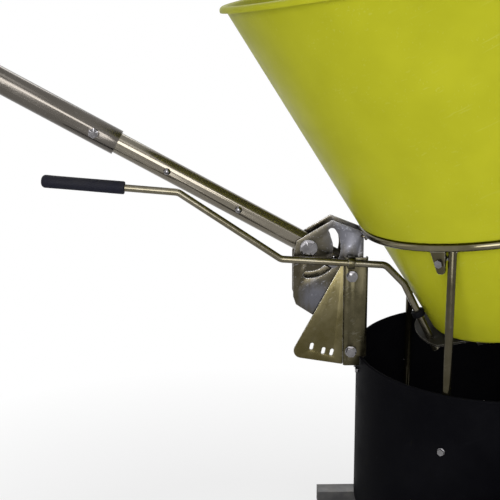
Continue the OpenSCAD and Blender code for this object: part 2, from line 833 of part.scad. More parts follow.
module handle_bracket() {
    color("darkkhaki") difference() {
        machine() translate([pivot[0], 0, pivot[1]]) difference() {
            union() {
                translate([0, sheet_t - plate_y, 0]) bracket_side();
                translate([0, plate_y, 0]) bracket_side();
                translate([pivot_back - 1 - sheet_t, -plate_y, -139])
                    cube([sheet_t, 2 * plate_y, 139 + pivot_down - web_drop]);
            }
            slot_cut();
            across(0, -50, 0) cylinder(r = pivot_d / 2 + seat / 4, h = 100);
            across(post_bolt_x - pivot[0], -50, post_bolt_high - pivot[1])
                cylinder(r = post_bolt_d / 2 + seat / 4, h = 50);
        }
        leaned() ring_solid(seat / 2);
    }
}

// Post, gusset and the bracket that joins them to the drum
module post_bolt_places() {
    for (z = [post_bolt_high, post_bolt_low]) translate([post_bolt_x, post_y, z]) children();
}

module post() {
    half = post_w / 2;
    color("darkkhaki") machine() difference() {
        translate([post_x, 0, post_bottom - post_foot])
            linear_extrude(post_top - post_bottom + post_foot) difference() {
            polygon(rounded([[-half, -plate_y - seat], [-half, post_y], [half, post_y],
                             [half, -plate_y - seat]], [0, post_corner, post_corner, 0]));
            translate([-half + sheet_t, post_y + sheet_t])
                square([post_w - 2 * sheet_t, post_depth]);
        }
        post_bolt_places() rotate([-90, 0, 0]) translate([0, 0, -1])
            cylinder(r = post_bolt_d / 2 + seat / 4, h = sheet_t + 2);
        translate([0, 0, post_bottom - 2 * post_foot])
            cylinder(r = drum_r - drum_wall / 2 + bead_r + slide, h = 2 * post_foot);
    }
}

module post_bolts() {
    color("silver") machine() post_bolt_places() rotate([-90, 0, 0]) translate([0, 0, -seat])
        screw(post_bolt_d, post_depth + sheet_t + post_bolt_d + 1);
}

module post_nuts() {
    color("silver") machine() post_bolt_places() rotate([-90, 0, 0])
        translate([0, 0, post_depth + sheet_t + seat]) nut(post_bolt_d);
}

module gusset_plate() {
    edge = post_x - post_w / 2 - seat;
    slots = [[-45, 28], [-28, 21], [-16, 18.5]];
    color("darkkhaki") machine()
        translate([edge, -plate_y - seat, post_bottom - post_foot]) rotate([90, 0, 0])
            linear_extrude(sheet_t) difference() {
                polygon(rounded([[0, 0], [0, gusset_h], [-2, gusset_h], [-gusset_w, 13]],
                                [2, 0, 0, 11]));
                for (p = slots) translate(p) rotate(-12) {
                    square([5, 6], center = true);
                    for (e = [-1, 1]) translate([0, e * 3]) circle(r = 2.5);
                }
            }
}

module drum_bracket() {
    inside = seat - sqrt(pow(bead_inner_r, 2) - pow(plate_y, 2));
    low = rim_z - 45;
    top = post_bottom + 21;
    color("darkkhaki") machine() difference() {
        union() {
            translate([post_x - post_w / 2, -plate_y, post_bottom])
                cube([inside + sheet_t - post_x + post_w / 2, sheet_t, top - post_bottom]);
            translate([inside, -plate_y, low]) cube([sheet_t, 2 * plate_y, top - low]);
        }
        translate([post_bolt_x, -plate_y - 1, post_bolt_low]) rotate([-90, 0, 0])
            cylinder(r = post_bolt_d / 2 + seat / 4, h = sheet_t + 2);
        translate([20 - drum_r, 0, 0]) bracket_screw_places()
            cylinder(r = small_d / 2 + seat / 4, h = 40);
    }
}

module drum_bracket_screws() {
    color("silver") machine() for (sy = [-1, 1])
        translate([-drum_r - seat, sy * 10, rim_z - 25]) rotate([0, 90, 0])
            screw(small_d, 14, false);
}

module rod_guide() {
    r = rod_d / 2 + slide;
    color("darkkhaki") machine() translate([guide_x, rod_y, guide_z])
        rotate([0, 90 + rod_slope, 0]) translate([0, 0, -guide_len / 2]) difference() {
            union() {
                cylinder(r = r + guide_wall, h = guide_len);
                translate([-r - guide_wall, 0, 0])
                    cube([2 * (r + guide_wall), post_y - rod_y - seat, guide_len]);
            }
            translate([0, 0, -1]) cylinder(r = r, h = guide_len + 2);
        }
}

// Control rod: its elbows are a hair thicker than the straights, which end inside them
module control_rod() {
    bends = [bend_handle, bend_rear, bend_top, bend_low];
    path = concat([rod_tail], bends, [rod_tip]);
    last = len(bends);
    ends = [for (i = [1 : last]) bend_arc(path[i - 1], path[i], path[i + 1], rod_bend_r)];
    color("silver") machine() translate([0, rod_y, 0]) union() {
        for (i = [0 : last]) {
            a = i == 0 ? rod_tail : ends[i - 1][3];
            b = i == last ? rod_tip : ends[i][2];
            along = (b - a) / norm(b - a);
            bar_between(i == 0 ? a : a - along, i == last ? b : b + along, rod_d);
        }
        for (e = ends) rotate([90, 0, 0]) translate(e[0]) rotate([0, 0, e[1][0]])
            rotate_extrude(angle = e[1][1]) translate([rod_bend_r, 0])
                circle(r = rod_d / 2 + elbow_extra);
    }
}

module lever_grip() {
    along = (bend_handle - rod_tail) / norm(bend_handle - rod_tail);
    round = lever_grip_d / 2;
    color([0.1, 0.1, 0.14]) machine() translate([rod_tail[0], rod_y, rod_tail[1]])
        rotate([0, atan2(along[0], along[1]), 0]) rotate_extrude() polygon(concat(
            [[rod_d / 2 + seat / 4, 0], [rod_d / 2 + seat / 4, lever_grip_len],
             [round - 1, lever_grip_len], [round, lever_grip_len - 1]],
            arc([round - 6, 2], 6, 0, -90, 6),
            [[0, -4], [0, -seat], [rod_d / 2 + seat / 4, -seat]]));
}

module rod_stop() {
    at = bend_low + 44 * end_dir;
    color([0.1, 0.1, 0.1]) machine() translate([at[0], rod_y, at[1]])
        rotate([0, atan2(end_dir[0], end_dir[1]), 0])
            tube(rod_d / 2 + 4, rod_d / 2 + seat / 4, 9);
}

// Handle
module cross_bore(s, r) {
    translate([s, 0, 0]) rotate([90, 0, 0]) translate([0, 0, -40]) cylinder(r = r, h = 80);
}

module handle_tube() {
    color("silver") handle_frame() difference() {
        translate([-tube_tail, 0, 0]) rotate([0, 90, 0])
            tube(tube_d / 2, tube_d / 2 - tube_wall, tube_tail + tube_len);
        cross_bore(0, pivot_d / 2 + run_fit);
        cross_bore(-slot_r, slot_bolt_d / 2 + seat / 4);
        for (i = [1, 2]) cross_bore(i * rivet_pitch, small_d / 2 + seat / 4);
    }
}

module tube_rivets() {
    head = small_d;
    color("gainsboro") handle_frame() for (i = [1, 2], side = [0, 1])
        mirror([0, side, 0]) translate([i * rivet_pitch, 0, 0]) rotate([90, 0, 0]) {
            cylinder(r = small_d / 2, h = tube_d / 2 + 1);
            translate([0, 0, tube_d / 2 + seat]) rotate_extrude()
                polygon(concat([[0, 0]], arc([0, 0], head, 0, 90, 8)) );
        }
}

module pivot_bolt() {
    face = plate_y + seat;
    color("silver") machine() across(pivot[0], -face, pivot[1])
        screw(pivot_d, 2 * face + pivot_d);
}

module pivot_nut() {
    color("silver") machine() across(pivot[0], plate_y + seat, pivot[1]) nut(pivot_d);
}

module slot_bolt() {
    face = plate_y + slide;
    color("silver") handle_frame() translate([-slot_r, -face, 0]) rotate([-90, 0, 0])
        screw(slot_bolt_d, 2 * face + slot_bolt_d, false);
}

module slot_nut() {
    color("silver") handle_frame() translate([-slot_r, plate_y + slide, 0]) rotate([-90, 0, 0])
        nut(slot_bolt_d);
}

module handle_sleeve() {
    color("silver") handle_frame() difference() {
        translate([sleeve_start, 0, 0]) rotate([0, 90, 0])
            tube(sleeve_d / 2, sleeve_bore, handle_len - sleeve_start);
        translate([handle_len, 60, 0]) rotate([90, 0, 0])
            cylinder(r = crossbar_d / 2 + seat / 2, h = 120);
        translate([sleeve_clamp, 0, 0]) rotate([90, 0, 0])
            cylinder(r = post_bolt_d / 2 + seat / 4, h = 40);
    }
}

module clamp_screw() {
    color("silver") handle_frame()
        translate([sleeve_clamp, -sleeve_d / 2 - seat, 0]) rotate([-90, 0, 0])
            screw(post_bolt_d, sleeve_d / 2 - tube_d / 2 - slide + seat, false);
}

module handle_crossbar() {
    color("silver") handle_frame() translate([handle_len, crossbar_len / 2, 0])
        rotate([90, 0, 0]) tube(crossbar_d / 2, crossbar_d / 2 - tube_wall, crossbar_len);
}

module handle_grip(side) {
    bore = crossbar_d / 2 + seat / 2;
    end = crossbar_len / 2 + seat;
    color([0.1, 0.1, 0.14]) handle_frame() translate([handle_len, 0, 0])
        mirror([0, side, 0]) rotate([-90, 0, 0]) rotate_extrude() polygon(concat(
            [[bore, end - grip_len], [bore, end], [0, end], [0, end + 4]],
            arc([grip_r - 4, end], 4, 90, 0, 5),
            arc([grip_r - 2, end - grip_len + 2], 2, 0, -90, 3)));
}

module grip_right() { handle_grip(1); }
module grip_left() { handle_grip(0); }

hopper();
floor_bush();
gate_rails();
gate_rail_screws();
gate();
support_ring();
ring_tabs();
tab_screws();
leg_rear_right();
leg_rear_left();
leg_front_right();
leg_front_left();
drum();
drum_screws();
crossbar_rear();
crossbar_front();
rail_right();
rail_left();
rear_stand();
axle_bushes();
axle();
axle_nuts();
gear_housing();
housing_cover();
cover_screws();
housing_bolts();
shaft_bush();
bevel_gear();
bevel_pinion();
spinner_shaft();
spinner_disc();
agitator();
wheel_right();
wheel_left();
tyre_right();
tyre_left();
free_wheel_nut();
handle_bracket();
post();
post_bolts();
post_nuts();
gusset_plate();
drum_bracket();
drum_bracket_screws();
rod_guide();
pivot_bolt();
pivot_nut();
control_rod();
lever_grip();
rod_stop();
handle_tube();
tube_rivets();
slot_bolt();
slot_nut();
handle_sleeve();
clamp_screw();
handle_crossbar();
grip_right();
grip_left();
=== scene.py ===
"""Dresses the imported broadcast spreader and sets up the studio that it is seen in.

The CAD nodes come in as a fixed frame. Plain sheet and bar parts are copied, merged and given
broken edges. Turned parts, fasteners, tyres and bent bars are modelled again with their own
detail. Every surface gets a procedural finish on Object coordinates.
"""

import json
import logging
import math
from dataclasses import dataclass, replace
from enum import Enum
from functools import reduce
from typing import Callable, Optional, Sequence

import bmesh
import bpy
from mathutils import Matrix, Vector

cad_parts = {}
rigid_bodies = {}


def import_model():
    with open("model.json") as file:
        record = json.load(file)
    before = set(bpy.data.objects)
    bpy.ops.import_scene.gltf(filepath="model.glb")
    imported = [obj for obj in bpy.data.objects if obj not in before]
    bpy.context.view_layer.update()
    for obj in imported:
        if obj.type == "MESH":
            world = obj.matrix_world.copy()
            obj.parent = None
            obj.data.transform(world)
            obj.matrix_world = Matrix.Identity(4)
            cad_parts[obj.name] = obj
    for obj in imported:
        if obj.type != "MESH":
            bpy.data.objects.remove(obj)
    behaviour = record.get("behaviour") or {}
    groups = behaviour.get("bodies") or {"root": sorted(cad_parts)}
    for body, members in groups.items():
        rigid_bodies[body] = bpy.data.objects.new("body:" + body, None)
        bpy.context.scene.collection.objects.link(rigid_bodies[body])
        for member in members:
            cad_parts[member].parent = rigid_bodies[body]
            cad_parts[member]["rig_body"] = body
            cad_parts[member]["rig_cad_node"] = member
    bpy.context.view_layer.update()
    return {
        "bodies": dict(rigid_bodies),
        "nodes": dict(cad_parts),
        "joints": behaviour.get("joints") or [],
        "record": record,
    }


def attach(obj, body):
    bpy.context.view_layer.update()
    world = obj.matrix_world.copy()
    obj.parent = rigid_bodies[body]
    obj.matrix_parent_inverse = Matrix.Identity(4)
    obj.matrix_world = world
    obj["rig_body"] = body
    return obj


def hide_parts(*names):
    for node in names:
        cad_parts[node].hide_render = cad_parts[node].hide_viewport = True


LOG = logging.getLogger("spreader")

Thing = bpy.types.Object
Socket = bpy.types.NodeSocket
Tree = bpy.types.NodeTree
Point = tuple[float, float]
Triple = tuple[float, float, float]
Ball = tuple[float, float, float, float]
Test = Callable[[Vector, Vector], bool]

MILLIMETRE = 0.001
NEARLY_NOTHING = 0.001
WHITE = (1.0, 1.0, 1.0)
BUMP_STRENGTH = 0.6
BUMP_DISTANCE = 0.0002
SCRATCH_DEPTH = 0.4
DUST_ROUGHNESS = 0.3
SWELL_SCALE = 9.0
SWELL_HEIGHT = 4.0


# Layout


def move(x: float, y: float, z: float) -> Matrix:
    """A plain shift."""
    return Matrix.Translation((x, y, z))


def turn(degrees: float, axis: str) -> Matrix:
    """A plain turn about X, Y or Z."""
    return Matrix.Rotation(math.radians(degrees), 4, axis)


def corners_of(x: float, y: float) -> list[Point]:
    """The four corners of a rectangle about the origin."""
    return [(sx * x, sy * y) for sx in (-1, 1) for sy in (-1, 1)]


def mirrored(degrees: float) -> tuple[float, float, float, float]:
    """An angle from +X with its mirror images in X and Y."""
    return degrees, -degrees, 180.0 - degrees, 180.0 + degrees


def arc(centre: Point, radius: float, start: float, end: float, steps: int) -> list[Point]:
    """Points of an arc.

    Args:
        centre: The arc's centre.
        radius: Its radius.
        start: Angle of the first point, in degrees.
        end: Angle of the last point, in degrees.
        steps: Number of chords.

    Returns:
        steps + 1 points.
    """
    angles = [math.radians(start + (end - start) * i / steps) for i in range(steps + 1)]
    return [(centre[0] + radius * math.cos(a), centre[1] + radius * math.sin(a)) for a in angles]


def bend(before: Point, at: Point, after: Point, radius: float, steps: int) -> list[Point]:
    """Rounds the corner of an outline or a path.

    Args:
        before: The point before the corner.
        at: The corner.
        after: The point after it.
        radius: Radius of the rounding.
        steps: Number of chords.

    Returns:
        The points that take the corner's place.
    """
    u, v = (Vector(before) - Vector(at)).normalized(), (Vector(after) - Vector(at)).normalized()
    half = math.acos(max(-1.0, min(1.0, u.dot(v)))) / 2
    middle = Vector(at) + (u + v).normalized() * radius / math.sin(half)
    first = Vector(at) + u * radius / math.tan(half) - middle
    last = Vector(at) + v * radius / math.tan(half) - middle
    start = math.atan2(first.y, first.x)
    sweep = (math.atan2(last.y, last.x) - start + math.pi) % (2 * math.pi) - math.pi
    return arc(tuple(middle), radius, math.degrees(start), math.degrees(start + sweep), steps)


def rounded(points: Sequence[Point], radii: Sequence[float], steps: int) -> list[Point]:
    """Rounds the inner corners of an open outline.

    Args:
        points: The outline's corners.
        radii: A radius for each corner, 0 for a sharp one.
        steps: Chords to a corner.

    Returns:
        The rounded outline.
    """
    out: list[Point] = []
    for i, (point, radius) in enumerate(zip(points, radii)):
        if radius == 0 or i in (0, len(points) - 1):
            out.append(tuple(point))
        else:
            out.extend(bend(points[i - 1], point, points[i + 1], radius, steps))
    return out


@dataclass(frozen=True)
class Layout:
    """Sizes that several sub-assemblies share, in millimetres and degrees."""

    middle_x: float = -368.303
    ring_z: float = 674.0
    ring_r: float = 190.0
    ring_bar: float = 11.0
    lean: float = 10.0
    handle_slope: float = 29.4
    pivot_back: float = 79.0
    pivot_down: float = 22.0
    plate_y: float = 18.4
    sheet: float = 3.0
    post_w: float = 34.0
    post_depth: float = 9.0
    post_ahead: float = 5.0
    post_drop: float = 35.0
    rim_z: float = 455.0
    rim_bead: float = 2.2
    leg_r: float = 183.4
    leg_angle: float = 60.0
    drum_r: float = 193.0
    shaft_x: float = 28.826
    axle_z: float = 180.0
    seat: float = 0.2
    slide: float = 0.4
    rod_d: float = 10.0
    cone_slope: float = math.tan(math.radians(21.8))

    @property
    def ring_rear(self) -> Point:
        """X and Z of the ring's rear, in the machine's frame."""
        lean = math.radians(self.lean)
        return -self.ring_r * math.cos(lean), self.ring_z - self.ring_r * math.sin(lean)

    @property
    def pivot(self) -> Point:
        """X and Z of the handle's pivot."""
        x, z = self.ring_rear
        return x - self.pivot_back, z - self.pivot_down

    @property
    def post_x(self) -> float:
        """X of the post's middle."""
        return self.ring_rear[0] + self.post_ahead - self.post_w / 2

    @property
    def post_y(self) -> float:
        """Y of the post's outer face."""
        return -self.plate_y - self.post_depth

    @property
    def post_top(self) -> float:
        """Height of the post's top."""
        return self.ring_rear[1] - self.post_drop

    @property
    def post_bottom(self) -> float:
        """Height of the post's foot."""
        return self.rim_z + self.rim_bead + self.slide

    @property
    def rod_y(self) -> float:
        """Y of the control rod's plane."""
        return self.post_y - self.sheet - self.slide - self.rod_d / 2

    def machine(self, x: float = 0.0, y: float = 0.0, z: float = 0.0) -> Matrix:
        """Takes millimetres about a point of the machine to metres of the row's frame."""
        return Matrix.Scale(MILLIMETRE, 4) @ move(-self.middle_x, 0.0, 0.0) @ move(x, y, z)

    def leaned(self) -> Matrix:
        """Takes millimetres of the ring's and hopper's frame to metres of the row's frame."""
        return self.machine(z=self.ring_z) @ turn(-self.lean, "Y")

    def handle(self, x: float, y: float = 0.0) -> Matrix:
        """Takes millimetres about a point along the handle to metres of the row's frame."""
        pivot = self.machine(self.pivot[0], 0.0, self.pivot[1])
        return pivot @ turn(180.0 + self.handle_slope, "Y") @ move(x, y, 0.0)


LAYOUT = Layout()


# Modelling


class Bench:
    """Modelling by hand: each method leaves one object active, in object mode."""

    @staticmethod
    def alone(thing: Thing) -> Thing:
        """Selects one object and nothing else.

        Args:
            thing: The object.

        Returns:
            The same object.
        """
        bpy.ops.object.select_all(action="DESELECT")
        thing.select_set(True)
        bpy.context.view_layer.objects.active = thing
        return thing

    @staticmethod
    def add(how: Callable, **settings: object) -> Thing:
        """Adds an object with one of Blender's operators.

        Args:
            how: The operator.
            settings: What it is called with.

        Returns:
            The new object.
        """
        bpy.ops.object.select_all(action="DESELECT")
        how(**settings)
        return bpy.context.active_object

    @staticmethod
    def copy(thing: Thing) -> Thing:
        """Copies an object.

        Args:
            thing: The object.

        Returns:
            The copy, with its own mesh.
        """
        Bench.alone(thing)
        bpy.ops.object.duplicate()
        return bpy.context.active_object

    @staticmethod
    def open(thing: Thing) -> None:
        """Opens an object in edit mode with everything selected.

        Args:
            thing: The object.
        """
        Bench.alone(thing)
        bpy.ops.object.mode_set(mode="EDIT")
        bpy.ops.mesh.select_all(action="SELECT")

    @staticmethod
    def close(merge: float = 0.002) -> Thing:
        """Merges doubles, turns faces outwards and leaves edit mode.

        Args:
            merge: Distance at which points are merged.

        Returns:
            The object that was open.
        """
        bpy.ops.mesh.select_all(action="SELECT")
        bpy.ops.mesh.remove_doubles(threshold=merge)
        bpy.ops.mesh.normals_make_consistent(inside=False)
        bpy.ops.object.mode_set(mode="OBJECT")
        return bpy.context.view_layer.objects.active

    @staticmethod
    def pick(kind: str, test: Test) -> int:
        """Selects the open object's faces or edges that pass a test.

        Args:
            kind: FACE or EDGE.
            test: Takes a face's centre and normal, or the places of an edge's two ends.

        Returns:
            The number picked.
        """
        bpy.ops.mesh.select_mode(type=kind)
        bpy.ops.mesh.select_all(action="DESELECT")
        thing = bpy.context.view_layer.objects.active
        shape = bmesh.from_edit_mesh(thing.data)
        if kind == "FACE":
            picked = [f for f in shape.faces if test(f.calc_center_median(), f.normal)]
        else:
            picked = [e for e in shape.edges if test(e.verts[0].co, e.verts[1].co)]
        for part in picked:
            part.select_set(True)
        bmesh.update_edit_mesh(thing.data)
        return len(picked)

    @staticmethod
    def lathe(profile: Sequence[Point], steps: int) -> Thing:
        """Turns a profile about Z, ring by ring.

        Args:
            profile: Radius and height of each ring.
            steps: Points to a ring.

        Returns:
            The turned object.
        """
        rings = [(max(radius, NEARLY_NOTHING), height) for radius, height in profile]
        radius, height = rings[0]
        thing = Bench.add(
            bpy.ops.mesh.primitive_circle_add,
            vertices=steps, radius=radius, fill_type="NOTHING", location=(0.0, 0.0, height),
        )
        Bench.open(thing)
        for wide, high in rings[1:]:
            bpy.ops.mesh.extrude_edges_move(
                TRANSFORM_OT_translate={"value": (0.0, 0.0, high - height)}
            )
            factor = wide / radius
            bpy.ops.transform.resize(value=(factor, factor, 1.0), center_override=(0.0, 0.0, 0.0))
            radius, height = wide, high
        Bench.close(merge=0.004)
        bpy.ops.object.transform_apply()
        return thing

    @staticmethod
    def bar(
        path: Sequence[Triple], radius: float, swell: Sequence[float], roundness: int
    ) -> Thing:
        """Sweeps a round bar along a path.

        Args:
            path: The points it follows.
            radius: Its radius.
            swell: A factor on the radius for each point.
            roundness: Detail of its section.

        Returns:
            The bar as a mesh.
        """
        thing = Bench.add(bpy.ops.curve.primitive_nurbs_path_add, location=(0.0, 0.0, 0.0))
        curve = thing.data
        curve.splines.clear()
        spline = curve.splines.new("POLY")
        spline.points.add(len(path) - 1)
        for knot, point, share in zip(spline.points, path, swell):
            knot.co = (*point, 1.0)
            knot.radius = share
        curve.dimensions = "3D"
        curve.bevel_depth = radius
        curve.bevel_resolution = roundness
        curve.use_fill_caps = True
        Bench.alone(thing)
        bpy.ops.object.convert(target="MESH")
        Bench.open(bpy.context.active_object)
        return Bench.close()

    @staticmethod
    def prism(sides: int, radius: float, low: float, high: float) -> Thing:
        """A prism that stands on Z, with a corner on +X.

        Args:
            sides: Number of its sides.
            radius: Radius at its corners.
            low: Height of its lower face.
            high: Height of its upper face.

        Returns:
            The prism.
        """
        thing = Bench.add(
            bpy.ops.mesh.primitive_cylinder_add,
            vertices=sides, radius=radius, depth=high - low,
            location=(0.0, 0.0, (low + high) / 2), rotation=(0.0, 0.0, math.radians(-90.0)),
        )
        bpy.ops.object.transform_apply()
        return thing

    @staticmethod
    def modify(thing: Thing, kind: str, **settings: object) -> Thing:
        """Adds a modifier with some settings and applies it.

        Args:
            thing: The object.
            kind: The kind of modifier.
            settings: Its settings by name.

        Returns:
            The same object.
        """
        Bench.alone(thing)
        modifier = thing.modifiers.new(kind.lower(), kind)
        for name, value in settings.items():
            setattr(modifier, name, value)
        bpy.ops.object.modifier_apply(modifier=modifier.name)
        return thing

    @staticmethod
    def carve(thing: Thing, tool: Thing, how: str = "DIFFERENCE") -> Thing:
        """Cuts an object with a tool, which is then thrown away.

        Args:
            thing: The object.
            tool: The object that cuts it.
            how: DIFFERENCE or INTERSECT.

        Returns:
            The object, cut.
        """
        Bench.modify(thing, "BOOLEAN", operation=how, solver="EXACT", object=tool)
        bpy.data.objects.remove(tool)
        return thing

    @staticmethod
    def soften(thing: Thing, width: float, segments: int = 2, angle: float = 35.0) -> Thing:
        """Breaks the edges of an object that are sharper than an angle.

        Args:
            thing: The object.
            width: Width of the broken edges.
            segments: Faces across them.
            angle: The angle, in degrees.

        Returns:
            The same object.
        """
        return Bench.modify(
            thing, "BEVEL", width=width, segments=segments, limit_method="ANGLE",
            angle_limit=math.radians(angle), use_clamp_overlap=True, miter_outer="MITER_ARC",
        )

    @staticmethod
    def place(thing: Thing, where: Matrix) -> Thing:
        """Puts an object at its place, which goes into its mesh.

        Args:
            thing: The object.
            where: Takes it from where it is to its place.

        Returns:
            The same object.
        """
        Bench.alone(thing)
        bpy.context.view_layer.update()
        thing.matrix_world = where @ thing.matrix_world
        bpy.ops.object.transform_apply()
        return thing

    @staticmethod
    def repeat(thing: Thing, places: Sequence[Matrix]) -> Thing:
        """Joins copies of an object at several places.

        Args:
            thing: The model, which is thrown away.
            places: Where its copies go.

        Returns:
            The copies as one object.
        """
        copies = [Bench.place(Bench.copy(thing), where) for where in places]
        bpy.data.objects.remove(thing)
        return Bench.join(copies)

    @staticmethod
    def join(things: Sequence[Thing]) -> Thing:
        """Joins several objects into the first.

        Args:
            things: The objects.

        Returns:
            The first.
        """
        Bench.alone(things[0])
        for other in things[1:]:
            other.select_set(True)
        if len(things) > 1:
            bpy.ops.object.join()
        return things[0]


# Finishes


class Run(Enum):
    """The way a finish's fine lines run: a squeeze along each axis and a turn about Y."""

    FREE = ((1.0, 1.0, 1.0), 0.0)
    UPRIGHT = ((1.0, 1.0, 0.04), 0.0)
    ALONG_HANDLE = ((0.04, 1.0, 1.0), math.radians(-LAYOUT.handle_slope))
    LENGTHWISE = ((0.04, 1.0, 1.0), 0.0)
    CROSSWISE = ((1.0, 0.04, 1.0), 0.0)


@dataclass(frozen=True)
class Finish:
    """One surface finish, in linear colours."""

    name: str
    slot: str
    base: Triple
    second: Triple
    metal: float
    rough: float
    rough_span: float = 0.12
    cloud_scale: float = 14.0
    grain_scale: float = 900.0
    grain: float = 0.1
    run: Run = Run.FREE
    scratch: float = 0.0
    scratch_colour: Triple = (0.5, 0.5, 0.48)
    wear: float = 0.0
    wear_colour: Triple = (0.6, 0.6, 0.58)
    wear_width: float = 0.0012
    dust: float = 0.0
    dust_colour: Triple = (0.42, 0.39, 0.33)
    specular: float = 0.5
    wave: float = 0.0
    # Patches of rubbed wear and painted reflection, each a centre and a reach, and their colour
    wear_and_sheen_patches: tuple[Ball, ...] = ()
    wear_and_sheen_colour: Triple = (0.2, 0.2, 0.22)


